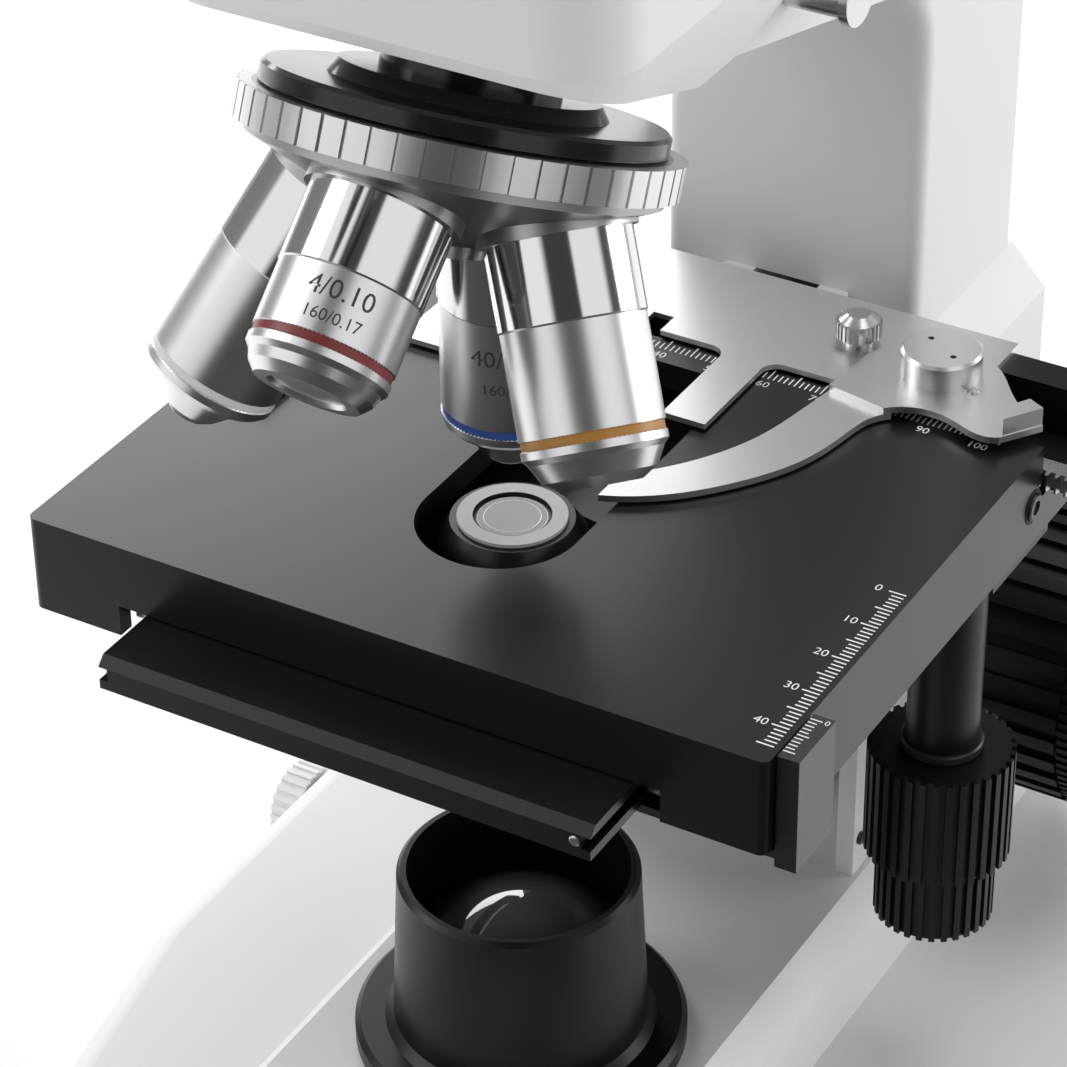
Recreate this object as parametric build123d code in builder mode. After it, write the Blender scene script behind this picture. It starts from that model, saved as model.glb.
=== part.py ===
from build123d import *
import os
from math import asin, cos, degrees, pi, radians, sin, tan

os.makedirs("parts", exist_ok=True)

# Trinocular microscope. Millimetres, +Z up, +X to the user's right, +Y away from the user.
# The origin is where the optical axis meets the table, and the optical axis is +Z through it.

# Clearances
seat_gap = 0.3          # between faces of pieces that move past each other
shaft_gap = 0.05        # radial, for a shaft that turns in its bore
slide_gap = 0.1         # for dovetails and tongues that slide
mesh_gap = 0.25         # tooth tip to tooth root of a rack and its pinion

# Heights above the table
stage_top = 160.0       # top of the mechanical stage, at the photographed focus
ridge_top = 50.0        # top of the ridge along the base
foot_top = 28.0         # top of the wide foot

# Base
foot_gap = 5.0          # bottom rim of the casting above the table
foot_half = 90.0        # half width at the back
foot_nose_half = 66.0   # half width at the front
foot_front = -108.0
foot_back = 144.0
foot_shoulder = 12.0    # y where the foot reaches its full width
foot_corner = 26.0
foot_edge = 6.0
casting_wall = 4.0
ridge_half = 33.5       # half width of the flat on top of the ridge
ridge_bevel = 5.0
ridge_bevel_drop = 6.0
ridge_front = -74.0
plate_thick = 1.5
pad_radius = 10.0
pad_inset = 24.0
pad_front_shift = 8.0   # the front feet stand nearer to the sides

# Lamp and field lens
collector_flange_radius = 29.5
collector_flange_thick = 4.0
collector_top = 86.0
collector_top_radius = 21.25
collector_foot_radius = 22.6
collector_bore = 19.5
lens_seat_height = 66.0
lens_edge = 3.0
lens_sag = 9.5
light_hole = 15.0
lamp_radius = 12.0
lamp_top = 41.0

# Switch, dial and inlet
switch_width = 15.0
switch_height = 11.0
switch_x = 44.0
rear_fitting_z = 17.0
inlet_width = 27.0
inlet_height = 19.0
inlet_x = -44.0
inlet_depth = 16.0
inlet_wall = 1.6
inlet_pin = 2.0
dial_radius = 8.5
dial_thick = 6.0
dial_y = 70.0
dial_shaft = 2.5

# Arm
arm_half = 25.4
arm_front = 98.0
arm_back = 141.0
nose_half = 39.4        # half width of the block that carries the head
nose_front = -39.0
nose_shoulder = 45.0    # y where the block starts to narrow
nose_neck = 85.0        # y where it has narrowed to the column
nose_skirt_drop = 2.0   # from the apex down to where the flare reaches the full width
nose_flare_height = 26.0
nose_flare_angle = 28.3
nose_corner = 12.0
arm_edge = 5.0
column_corner = 3.0
pad_step_y = 12.0       # back edge of the slanted seat for the nosepiece
pad_step = 10.0         # level step behind that seat
under_slope = 0.25      # fall of the gooseneck's underside, per millimetre back to the column
housing_half = 32.5     # wider foot of the arm round the focus drive
cheek_front = 66.5      # walls that reach forward on both sides of the carriage
cheek_thick = 3.5
cheek_top = 100.0
cheek_rise = 12.0       # from the front of a cheek up to the column
housing_top = 147.0
housing_shoulder = 8.0
light_path = 10.0       # radius of the light path through the arm
head_seat_radius = 25.0
head_seat_depth = 6.0
lock_screw_y = 45.0
lock_screw_drop = 51.0  # from the head's seat down to the screw
lock_screw_radius = 2.5
lock_screw_depth = 10.0
lock_knob_radius = 4.0
lock_knob_length = 12.0
lock_flange = 1.6

# Focus drive
drive_y = 117.0
drive_z = 78.0
coarse_knob_radius = 28.0
coarse_knob_start = 40.0
coarse_knob_end = 61.5
coarse_knob_ribs = 34
fine_rim_radius = 27.6
fine_rim_width = 5.5
fine_rim_ribs = 90
fine_knob_radius = 14.0
fine_knob_width = 8.0
coarse_shaft_radius = 8.0
fine_shaft_radius = 4.0
tension_ring_width = 6.6
tension_ring_radius = 24.0
guide_depth = 8.0       # dovetail on the front of the arm
guide_root_half = 12.0
guide_tip_half = 17.0
guide_bottom = 51.5
guide_top = 154.0
focus_tooth_pitch = 2.5
focus_teeth = 16
focus_rack_half = 4.5
focus_rack_bottom = 67.5
focus_rack_top = 99.0
focus_slot_half = 6.5

# Focus carriage
carriage_half = 27.0
carriage_front = 86.0
carriage_bottom = 74.0

# Turret, all on an axis that leans towards the user
turret_tilt = 24.0      # lean of the turret axis, which is also the objectives' splay
apex_height = 104.0     # where the objective axes meet, above the stage top
seat_height = 28.0      # top of the arm, where the head sits, above the apex
seat_reach = 19.6       # apex to the slanted seat under the arm, along the turret axis
base_disc_radius = 31.2
base_disc_thick = 3.1
base_tier_radius = 20.0  # raised step on the disc
base_tier_height = 2.2
base_hub_radius = 14.0  # neck between the disc and the arm
ring_reach = 29.9       # apex to the top of the grip ring
ring_width = 5.5
disc_gap = 0.5          # between the fixed disc and the turret
ring_radius = 34.2
ring_wall = 2.2
ring_ribs = 52
ring_rib_depth = 0.45
shoulder_reach = 47.4   # apex to the objectives' shoulder, along an objective axis
boss_radius = 12.2
bowl_wall = 4.0
thread_radius = 10.1
thread_length = 4.5
pivot_radius = 3.0
hub_radius = 7.0

# Objectives: reaches are from the apex, along the objective's own axis
barrel_radius = 11.1
chrome_radius = 11.3
ring_line = 0.6
objective_sizes = {
    "objective_4x": (180, 59.6, 70.6, 76.6, 7.6),
    "objective_10x": (90, 60.0, 77.2, 84.6, 5.6),
    "objective_40x": (0, 63.1, 83.3, 93.1, 3.6),
    "objective_100x": (270, 63.1, 84.4, 93.5, 3.2),
}
nose_root_radius = 7.6  # sprung front cell of the 40x and the 100x
nose_cell_length = 7.0
nose_travel = 1.5

# Mechanical stage
table_half = 67.5
table_front = -40.6
table_back = 84.0
table_thick = 17.5
table_roof = 5.0
table_wall = 3.0
roof_back = 59.0        # back edge of the top surface
shelf_drop = 10.0       # the back shelf that the rail runs on, below the top surface
slot_half = 14.0
slot_front_centre = -3.8
slot_back = 52.0
slot_corner = 6.0
lower_half = 45.0
lower_front = -53.8
lower_back = 90.0
lower_top_drop = 12.0
lower_thick = 5.8
lower_hole = 19.5
groove_width = 2.4
groove_depth = 1.6
groove_drop = 2.9
guide_rail_thick = 4.9
vernier_thick = 3.7
vernier_front = -38.0
vernier_length = 12.0
vernier_strip = 1.5
vernier_inner_x = 30.0

# Stage drive
drive_x = 54.7
drive_back = 53.3
tooth_pitch = 1.76
pinion_teeth = 24
tooth_height = 1.1
pinion_thick = 2.6
x_rack_depth = 4.2
sleeve_radius = 6.5
y_tube_radius = 5.0
x_shaft_radius = 3.0
y_knob_radius = 13.1
y_knob_top = 98.0
y_knob_width = 22.0
x_knob_radius = 10.75
x_knob_width = 14.0
y_knob_ribs = 34
x_knob_ribs = 30

# Slide holder
rail_front = 76.6
rail_back = 83.3
rail_left = -62.0
rail_right = 94.0
rail_rise = 0.5         # rail top above the stage top
flange_thick = 1.1
holder_thick = 1.0
holder_left = -60.0
holder_right = 51.0
holder_back = 85.0
jaw_inner = -51.8
jaw_front = 5.6
finger_front = 35.7
left_finger = (-43.6, -35.0)
right_finger = (8.1, 16.2)
window_back = 59.0
hub_window = 36.0       # x where the last window ends
holder_hub_front = 58.0
vernier_notch = (-9.0, -5.0)
thumb_y = 72.5
thumb_x = (26.5, -36.0)
thumb_radius = 4.0
thumb_height = 4.3
thumb_neck = 2.7
thumb_grip = 2.9
thumb_shank = 1.5
lug_bottom_drop = 4.5
thumb_cone = 1.2
lever_pivot = (44.1, 68.3)
lever_thick = 1.2
lever_lift = 0.4        # underside of the finger above the stage top
cap_radius = 7.0
cap_height = 4.7
cap_hole = 0.55
cap_hole_spacing = 7.0

# Condenser
condenser_drop = 1.0    # top ring below the stage top
condenser_radius = 18.4
condenser_flange = 21.0
condenser_base_z = 119.5
condenser_ring_radius = 9.1
condenser_cone_radius = 12.5
condenser_root_radius = 17.0
condenser_lens_radius = 6.5
mount_ring_bottom = 121.0
mount_ring_thick = 10.0
mount_ring_radius = 23.0
mount_half = 20.0
mount_front = 70.0
condenser_guide_depth = 6.0
condenser_guide_root = 9.0
condenser_guide_tip = 13.0
condenser_knob_radius = 11.0
condenser_knob_width = 8.0
condenser_knob_y = 75.0
condenser_knob_z = 114.0
iris_neck = 15.0
iris_bottom = 135.2
iris_thick = 2.6
iris_angle = 235.0
iris_reach = 33.0
filter_pin_angle = 120.0
filter_pin_reach = 21.0
filter_ring_radius = 17.0
filter_glass_radius = 14.5
filter_thick = 2.6

# Head
head_half = 36.0
head_height = 58.0      # above its seat on the arm
head_back = 42.0
head_collar_radius = 34.0
head_collar = 6.0
tube_slope = 30.0       # eyepiece tubes above the horizontal
face_y = -40.0          # where the tubes' swing axis leaves the head
face_height = 33.0      # of the same place above the seat
eye_arm_reach = 37.5    # swing axis to tube axis
eye_arm_angle = 20.0    # lift of each tube about the swing axis, as it stands
eye_arm_radius = 18.5
swing_post_radius = 8.0
eye_hub_radius = 24.0
eye_tube_radius = 14.6
eye_tube_length = 50.0
eyepiece_radius = 16.8
eyepiece_length = 38.0
eyepiece_plug_radius = 11.5
eyepiece_plug_length = 22.0
diopter_length = 9.0
photo_tube_y = 16.0
photo_tube_radius = 19.0
photo_tube_height = 42.0
photo_tube_bore = 15.0
photo_cap_thick = 7.0
rod_radius = 3.0
rod_y = 18.0
rod_height = 30.0       # above the head's seat
rod_reach = 26.0

# Racks, pins and other inner sizes
y_rack_front = 13.5
y_rack_back = 62.5
y_rack_height = 4.0
y_pinion_bottom = 143.8
x_rack_front = 58.0
x_rack_height = 3.2
rack_left = 4.0
key_width = 2.0
key_height = 1.0
sleeve_flange = 2.2
turret_nut = 49.0       # apex to the end of the turret's pivot
path_through_disc = 6.0
focus_tooth_height = 1.5
condenser_guide_bottom = 84.0
bracket_inner = 25.0
bracket_width = 15.0
bracket_front = 22.0
bracket_thick = 6.0
lever_step = 1.2        # length of the bend between finger and hub
tab_height = 4.5
path_in_turret = 7.5
barrel_bore = 6.0
mount_bottom = 100.0
condenser_knob_shaft = 3.0
condenser_light = 5.0
condenser_shoulder = 141.2
filter_top = 119.0
filter_pin_radius = 1.6
filter_pin_depth = 5.0
filter_ear_radius = 5.0
pinion_pocket = 8.0     # radius of the pocket round the stage pinions
eye_layer = 14.0
eyepiece_eye_lens = 10.5
cap_pin = 2.5

# Derived places
table_bottom = stage_top - table_thick
shelf_top = stage_top - shelf_drop
lower_top = stage_top - lower_top_drop
lower_bottom = lower_top - lower_thick
ceiling = stage_top - table_roof
apex = Vector(0, 0, stage_top + apex_height)
seat_top = apex.Z + seat_height
nose_skirt = apex.Z - nose_skirt_drop
lock_screw_z = seat_top - lock_screw_drop
head_top = seat_top + head_height
photo_tube_top = head_top + photo_tube_height
rod_z = seat_top + rod_height
lean = radians(turret_tilt)
turret_dir = Vector(0, -sin(lean), -cos(lean))
swing_dir = Vector(0, -cos(radians(tube_slope)), sin(radians(tube_slope)))
face_z = seat_top + face_height
face_centre = Vector(0, face_y, face_z)
pinion_radius = tooth_pitch * pinion_teeth / (2 * pi)
focus_pinion_radius = focus_tooth_pitch * focus_teeth / (2 * pi)
plate_bottom = foot_gap + 1.0
plate_top = plate_bottom + plate_thick
x_pinion_bottom = shelf_top + flange_thick + 0.8

pieces = {}


def keep(label, builder):
    """Notes a finished piece under the name of its file."""
    builder.part.label = label
    pieces[label] = builder.part


def filled(points):
    """Fills the outline through the points."""
    with BuildLine() as outline:
        Polyline(*points, close=True)
    make_face(outline.edges())


def axial(origin, direction):
    """Plane that holds the axis: local X is the radius, local Y runs along the axis."""
    side = Vector(1, 0, 0)
    if abs(direction.X) > 0.9:
        side = Vector(0, 1, 0)
    radial = (side - direction * side.dot(direction)).normalized()
    return Plane(origin=origin, x_dir=radial, z_dir=radial.cross(direction))


def cross_plane(place):
    """Plane across the X axis at a place, with its local X to the rear."""
    return Plane(origin=place, x_dir=(0, 1, 0), z_dir=(1, 0, 0))


def turned(origin, direction, points, mode=Mode.ADD):
    """Turns an outline round an axis, in the part that is being built."""
    with BuildSketch(axial(origin, direction)) as section:
        filled(points)
    revolve(section.sketch, axis=Axis(origin, direction), mode=mode)


def ribbed_disc(radius, ribs, depth, share=0.5):
    """Round outline with square grooves evenly spread round its edge."""
    Circle(radius)
    groove = 2 * pi * radius / ribs * share
    with PolarLocations(radius, ribs):
        Rectangle(2 * depth, groove, mode=Mode.SUBTRACT)


def pinion_outline(teeth, pitch, height):
    """Toothed outline: straight-flanked teeth, the first one centred on local +X."""
    radius = teeth * pitch / (2 * pi)
    root = radius - height / 2 - mesh_gap
    tip = radius + height / 2
    step = 360 / teeth
    outline = []
    for k in range(teeth):
        for reach, share in ((root, -0.27), (tip, -0.12), (tip, 0.12), (root, 0.27)):
            angle = radians(step * (k + share))
            outline.append((reach * cos(angle), reach * sin(angle)))
    return outline


def rack_outline(first, last, pitch, height, back):
    """Toothed bar from first to last along local X, a gap centred on local 0, teeth up."""
    outline = [(first, -back)]
    k = int(first / pitch) - 1
    while (k + 0.5) * pitch < last:
        centre = (k + 0.5) * pitch
        for offset, rise in ((-0.27, -height / 2 - mesh_gap), (-0.12, height / 2),
                             (0.12, height / 2), (0.27, -height / 2 - mesh_gap)):
            place = centre + offset * pitch
            if first <= place <= last:
                outline.append((place, rise))
        k += 1
    low = -height / 2 - mesh_gap
    outline.insert(1, (first, low))
    outline.append((last, low))
    outline.append((last, -back))
    return outline


def sketch_vertices_at(places):
    """Corners of the sketch being drawn that lie at the given places."""
    found = ShapeList()
    for place in places:
        found.append(vertices().sort_by_distance(Vector(place[0], place[1], 0))[0])
    return found


def filled_area(points, mode):
    """Combines the outline through the points with the sketch being drawn."""
    with BuildSketch(mode=Mode.PRIVATE) as area:
        filled(points)
    add(area.sketch, mode=mode)


def finger_zone(step):
    """Area in front of the bend, where the finger runs low over the stage."""
    return [(0, 0), (52, 0), (52, 49 - step), (46, 53 - step), (24, 57.5 - step), (0, 57.5 - step)]


def lever_outline(mode=Mode.ADD):
    """Plan of the finger: a hooked tip, a long curve and a tail behind the pivot."""
    with BuildSketch(mode=Mode.PRIVATE) as plan:
        with BuildLine() as rim:
            outer = Spline((11.3, 8.2), (20.2, 13.2), (29.6, 23.2), (35.4, 33.4), (38.0, 44.5), (40.4, 52.4),
                           (45.3, 55.6), (51.8, 55.3), (59.2, 53.1), (61.5, 54.0))
            tail = Line((61.5, 54.0), (66.2, 60.9))
            tab = Line(tail @ 1, (62.9, 63.0))
            back = Spline(tab @ 1, (56.5, 69.0), (51.8, 74.3), (44.5, 76.4), (37.0, 74.5), (31.6, 69.5),
                          (30.2, 61.0), (28.6, 50.0), (25.9, 37.0), (20.5, 25.8), (11.3, 15.4))
            Line(back @ 1, outer @ 0)
        make_face(rim.edges())
    add(plan.sketch, mode=mode)


# Base casting: a wide shallow foot with a ridge from the lamp back to the arm
def foot_outline(inset=0):
    """Rounded plan of the foot, inset all round."""
    with BuildSketch(mode=Mode.PRIVATE) as plan:
        filled([
            (-foot_nose_half, foot_front),
            (foot_nose_half, foot_front),
            (foot_half, foot_shoulder),
            (foot_half, foot_back),
            (-foot_half, foot_back),
            (-foot_half, foot_shoulder),
        ])
        fillet(plan.vertices(), radius=foot_corner)
        if inset:
            offset(amount=-inset, mode=Mode.REPLACE)
    add(plan.sketch)


def ridge_outline(inset):
    """Cross-section of the ridge, drawn in X and Z."""
    filled([
        (-ridge_half - ridge_bevel - 2 + inset, plate_top),
        (-ridge_half - ridge_bevel + inset, ridge_top - ridge_bevel_drop),
        (-ridge_half + inset, ridge_top - inset),
        (ridge_half - inset, ridge_top - inset),
        (ridge_half + ridge_bevel - inset, ridge_top - ridge_bevel_drop),
        (ridge_half + ridge_bevel + 2 - inset, plate_top),
    ])


pad_places = [
    (foot_half - pad_inset, foot_back - pad_inset),
    (-foot_half + pad_inset, foot_back - pad_inset),
    (foot_nose_half - pad_inset + pad_front_shift, foot_front + pad_inset),
    (-foot_nose_half + pad_inset - pad_front_shift, foot_front + pad_inset),
]

with BuildPart() as base_casting:
    with BuildSketch(Plane.XY.offset(foot_gap)):
        foot_outline()
    extrude(amount=foot_top - foot_gap)
    fillet(faces().sort_by(Axis.Z)[-1].edges(), radius=foot_edge)
    with BuildSketch(Plane.XZ.offset(-arm_back)):
        ridge_outline(0)
    extrude(amount=arm_back - ridge_front)
    ridge_nose = edges().group_by(Axis.Z)[-1].sort_by(Axis.Y)[0]
    fillet(ridge_nose, radius=foot_edge)
    with BuildSketch(Plane.XY.offset(foot_gap)):
        foot_outline(casting_wall / 2)
    extrude(amount=plate_top - foot_gap, mode=Mode.SUBTRACT)
    with BuildSketch(Plane.XY.offset(plate_top)):
        foot_outline(casting_wall)
    extrude(amount=foot_top - casting_wall - plate_top, mode=Mode.SUBTRACT)
    with BuildSketch(Plane.XZ.offset(-(arm_front - casting_wall))):
        ridge_outline(casting_wall)
    extrude(amount=arm_front - ridge_front - 2 * casting_wall, mode=Mode.SUBTRACT)
    with BuildSketch(Plane.XY.offset(ridge_top)):
        Circle(light_hole)
    extrude(amount=-2 * casting_wall, mode=Mode.SUBTRACT)
    with BuildSketch(Plane.XZ.offset(-foot_back)):
        with Locations((switch_x, rear_fitting_z)):
            Rectangle(switch_width, switch_height)
        with Locations((inlet_x, rear_fitting_z)):
            Rectangle(inlet_width, inlet_height)
    extrude(amount=inlet_depth + 1, mode=Mode.SUBTRACT)
    with BuildSketch(Plane.YZ.offset(-foot_half)):
        with Locations((dial_y, rear_fitting_z)):
            Circle(dial_shaft + shaft_gap)
    extrude(amount=2 * casting_wall, mode=Mode.SUBTRACT)
keep("base_casting", base_casting)

with BuildPart() as base_plate:
    with BuildSketch(Plane.XY.offset(plate_bottom)):
        foot_outline(casting_wall / 2 + slide_gap)
    extrude(amount=plate_thick)
keep("base_plate", base_plate)

with BuildPart() as rubber_feet:
    with BuildSketch():
        with Locations(*pad_places):
            Circle(pad_radius)
    extrude(amount=plate_bottom, taper=4)
keep("rubber_feet", rubber_feet)

# Field lens in its black housing, over the lamp
with BuildPart() as field_lens_housing:
    turned(Vector(0, 0, 0), Vector(0, 0, 1), [
        (collector_bore - 2.5, ridge_top),
        (collector_flange_radius, ridge_top),
        (collector_flange_radius, ridge_top + collector_flange_thick - 1),
        (collector_flange_radius - 1, ridge_top + collector_flange_thick),
        (collector_foot_radius + 1.5, ridge_top + collector_flange_thick),
        (collector_foot_radius, ridge_top + collector_flange_thick + 1.5),
        (collector_top_radius, collector_top - 0.8),
        (collector_top_radius - 0.8, collector_top),
        (collector_bore, collector_top),
        (collector_bore, lens_seat_height),
        (collector_bore - 2.5, lens_seat_height),
    ])
keep("field_lens_housing", field_lens_housing)

lens_radius = collector_bore - slide_gap
lens_ball = (lens_radius ** 2 + lens_sag ** 2) / (2 * lens_sag)
with BuildPart() as field_lens:
    with BuildSketch(Plane.XZ):
        with BuildLine():
            Line((0, lens_seat_height), (lens_radius, lens_seat_height))
            Line((lens_radius, lens_seat_height), (lens_radius, lens_seat_height + lens_edge))
            RadiusArc(
                (lens_radius, lens_seat_height + lens_edge),
                (0, lens_seat_height + lens_edge + lens_sag),
                -lens_ball,
            )
            Line((0, lens_seat_height + lens_edge + lens_sag), (0, lens_seat_height))
        make_face()
    revolve(axis=Axis.Z)
keep("field_lens", field_lens)

with BuildPart() as lamp_module:
    turned(Vector(0, 0, 0), Vector(0, 0, 1), [
        (0, plate_top),
        (lamp_radius, plate_top),
        (lamp_radius, lamp_top - 14),
        (lamp_radius - 4, lamp_top - 12),
        (lamp_radius - 4, lamp_top - 4),
        (lamp_radius - 7, lamp_top),
        (0, lamp_top),
    ])
keep("lamp_module", lamp_module)

# Rear fittings and the brightness dial
with BuildPart() as power_inlet:
    with BuildSketch(Plane.XZ.offset(-foot_back)):
        with Locations((inlet_x, rear_fitting_z)):
            Rectangle(inlet_width - 2 * slide_gap, inlet_height - 2 * slide_gap)
    extrude(amount=inlet_depth)
    with BuildSketch(Plane.XZ.offset(-foot_back)):
        with Locations((inlet_x, rear_fitting_z)):
            RectangleRounded(inlet_width + 4, inlet_height + 4, 2)
    extrude(amount=-inlet_wall)
    with BuildSketch(Plane.XZ.offset(-foot_back - inlet_wall)):
        with Locations((inlet_x, rear_fitting_z)):
            RectangleRounded(inlet_width - 3, inlet_height - 3, 2)
    extrude(amount=inlet_depth - 1, mode=Mode.SUBTRACT)
    with BuildSketch(Plane.XZ.offset(-foot_back + inlet_depth - 1)):
        with Locations(
            (inlet_x, rear_fitting_z + 3),
            (inlet_x - 7, rear_fitting_z - 1),
            (inlet_x + 7, rear_fitting_z - 1),
        ):
            Rectangle(inlet_pin, 2 * inlet_pin)
    extrude(amount=-inlet_depth + 4)
keep("power_inlet", power_inlet)

with BuildPart() as power_switch:
    with BuildSketch(Plane.YZ.offset(switch_x - switch_width / 2 + seat_gap)):
        with BuildLine():
            Polyline(
                (foot_back - 6, rear_fitting_z - 3),
                (foot_back + 0.8, rear_fitting_z - switch_height / 2 + 1.4),
                (foot_back + 0.2, rear_fitting_z),
                (foot_back + 2.4, rear_fitting_z + switch_height / 2 - 1.4),
                (foot_back - 6, rear_fitting_z + 3),
                close=True,
            )
        make_face()
    extrude(amount=switch_width - 2 * seat_gap)
keep("power_switch", power_switch)

with BuildPart() as brightness_dial:
    with BuildSketch(Plane.YZ.offset(-foot_half - seat_gap)):
        with Locations((dial_y, rear_fitting_z)):
            Circle(dial_radius)
            with PolarLocations(dial_radius, 24):
                Rectangle(1.0, 1.1, mode=Mode.SUBTRACT)
    extrude(amount=-dial_thick)
    with BuildSketch(Plane.YZ.offset(-foot_half - seat_gap)):
        with Locations((dial_y, rear_fitting_z)):
            Circle(dial_shaft)
    extrude(amount=casting_wall + 4)
keep("brightness_dial", brightness_dial)

# Arm: column, gooseneck and the block that carries the head, in one casting
slope = tan(lean)
seat_z0 = apex.Z - seat_reach / cos(lean)
pad_low = seat_z0 - slope * pad_step_y
under_start = pad_step_y + pad_step
under_column = pad_low - under_slope * (arm_front - under_start)


def nose_outline(back):
    """Plan of the head block, either alone or narrowing back into the column."""
    with BuildSketch(mode=Mode.PRIVATE) as plan:
        filled([(-nose_half, nose_front), (nose_half, nose_front), (nose_half, nose_shoulder)] + back
               + [(-nose_half, nose_shoulder)])
        fillet(plan.vertices().group_by(Axis.Y)[0], radius=nose_corner)
    add(plan.sketch)


with BuildPart() as arm:
    with BuildSketch(Plane.YZ.offset(-arm_half)):
        with BuildLine():
            Polyline(
                (arm_front, ridge_top),
                (arm_front, under_column),
                (under_start, pad_low),
                (pad_step_y, pad_low),
                (nose_front + nose_corner, seat_z0 - slope * (nose_front + nose_corner)),
                (nose_front + nose_corner, seat_top),
                (arm_back, seat_top),
                (arm_back, ridge_top),
                close=True,
            )
        make_face()
    extrude(amount=2 * arm_half)
    gusset = edges().filter_by(Axis.X).sort_by_distance((0, arm_front, under_column))[0]
    fillet(gusset, radius=18)
    with BuildSketch(Plane.XY.offset(nose_skirt)):
        nose_outline([
            (arm_half, nose_neck),
            (arm_half, arm_back),
            (-arm_half, arm_back),
            (-arm_half, nose_neck),
        ])
    extrude(amount=seat_top - nose_skirt)
    with BuildSketch(Plane.XY.offset(nose_skirt)):
        nose_outline([])
    extrude(amount=-nose_flare_height, taper=nose_flare_angle)
    with BuildSketch(Plane(origin=apex + turret_dir * seat_reach, x_dir=(1, 0, 0), z_dir=turret_dir)):
        with Locations((0, 0)):
            Rectangle(4 * nose_half, 2 * (-nose_front + 30))
    extrude(amount=60, mode=Mode.SUBTRACT)
    column_edges = edges().filter_by(Axis.Z).filter_by_position(Axis.Z, ridge_top + 40, nose_skirt)
    fillet(column_edges.filter_by_position(Axis.Y, arm_front - 1, arm_back + 1), radius=column_corner)
    with BuildSketch(Plane.YZ.offset(-arm_half)):
        with BuildLine():
            Polyline(
                (arm_front, under_column),
                (under_start, pad_low),
                (pad_step_y, pad_low),
                (pad_step_y, seat_top - 20),
                (arm_back - 5, seat_top - 20),
                (arm_back - 5, under_column),
                close=True,
            )
        make_face()
    extrude(amount=2 * arm_half)
    top_rim = faces().filter_by(GeomType.PLANE).sort_by(Axis.Z)[-1].edges()
    fillet(top_rim, radius=arm_edge)
    with BuildSketch(Plane.XZ.offset(-arm_back)):
        filled([
            (-housing_half, ridge_top),
            (housing_half, ridge_top),
            (housing_half, housing_top - housing_shoulder),
            (arm_half, housing_top),
            (-arm_half, housing_top),
            (-housing_half, housing_top - housing_shoulder),
        ])
    extrude(amount=arm_back - arm_front)
    for side in (-1, 1):
        with BuildSketch(Plane.YZ.offset(side * housing_half)):
            filled([
                (arm_front + 1, ridge_top),
                (cheek_front, ridge_top),
                (cheek_front, cheek_top),
                (arm_front + 1, cheek_top + cheek_rise),
            ])
        extrude(amount=-side * cheek_thick)
    with BuildSketch(Plane.XY.offset(guide_bottom)):
        filled([
            (-guide_root_half, arm_front),
            (-guide_tip_half, arm_front - guide_depth),
            (guide_tip_half, arm_front - guide_depth),
            (guide_root_half, arm_front),
        ])
    extrude(amount=guide_top - guide_bottom)
    with BuildSketch(Plane.XY.offset(guide_bottom)):
        with Locations((0, (arm_front - guide_depth + drive_y) / 2)):
            Rectangle(2 * focus_slot_half, drive_y - arm_front + guide_depth)
        with Locations((0, drive_y)):
            Circle(focus_slot_half)
    extrude(amount=guide_top - guide_bottom, mode=Mode.SUBTRACT)
    with BuildSketch(Plane.YZ.offset(-housing_half)):
        with Locations((drive_y, drive_z)):
            Circle(coarse_shaft_radius + shaft_gap)
    extrude(amount=2 * housing_half, mode=Mode.SUBTRACT)
    with BuildSketch(Plane.XY.offset(seat_top)):
        Circle(light_path)
    extrude(amount=-70, mode=Mode.SUBTRACT)
    with BuildSketch(Plane.XY.offset(seat_top)):
        Circle(head_seat_radius)
    extrude(amount=-head_seat_depth, mode=Mode.SUBTRACT)
    with BuildSketch(Plane.YZ.offset(arm_half)):
        with Locations((lock_screw_y, lock_screw_z)):
            Circle(lock_screw_radius + shaft_gap)
    extrude(amount=-lock_screw_depth - seat_gap, mode=Mode.SUBTRACT)
keep("arm", arm)

# Fixed disc that the turret hangs from, with a stepped neck up to the arm
disc_bottom = ring_reach - disc_gap
disc_top = disc_bottom - base_disc_thick
with BuildPart() as nosepiece_base:
    turned(apex, turret_dir, [
        (0, seat_reach),
        (base_hub_radius, seat_reach),
        (base_hub_radius, disc_top - base_tier_height),
        (base_tier_radius, disc_top - base_tier_height),
        (base_tier_radius + 1.5, disc_top),
        (base_disc_radius - 0.6, disc_top),
        (base_disc_radius, disc_top + 0.6),
        (base_disc_radius, disc_bottom),
        (pivot_radius, disc_bottom),
        (pivot_radius, turret_nut),
        (0, turret_nut),
    ])
    with BuildSketch(Plane.XY.offset(apex.Z)):
        Circle(path_through_disc)
    extrude(amount=-(disc_bottom + path_through_disc) / cos(lean), mode=Mode.SUBTRACT)
keep("nosepiece_base", nosepiece_base)

# Turned screw with a flanged grip, in the right side of the gooseneck
with BuildPart() as head_lock_screw:
    lock_knob_end = arm_half + lock_knob_length
    turned(Vector(0, lock_screw_y, lock_screw_z), Vector(1, 0, 0), [
        (0, arm_half - lock_screw_depth),
        (lock_screw_radius, arm_half - lock_screw_depth),
        (lock_screw_radius, arm_half + seat_gap),
        (lock_knob_radius, arm_half + seat_gap),
        (lock_knob_radius, lock_knob_end - lock_flange),
        (lock_knob_radius + 0.9, lock_knob_end - lock_flange),
        (lock_knob_radius + 0.9, lock_knob_end),
        (0, lock_knob_end),
    ])
keep("head_lock_screw", head_lock_screw)

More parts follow.
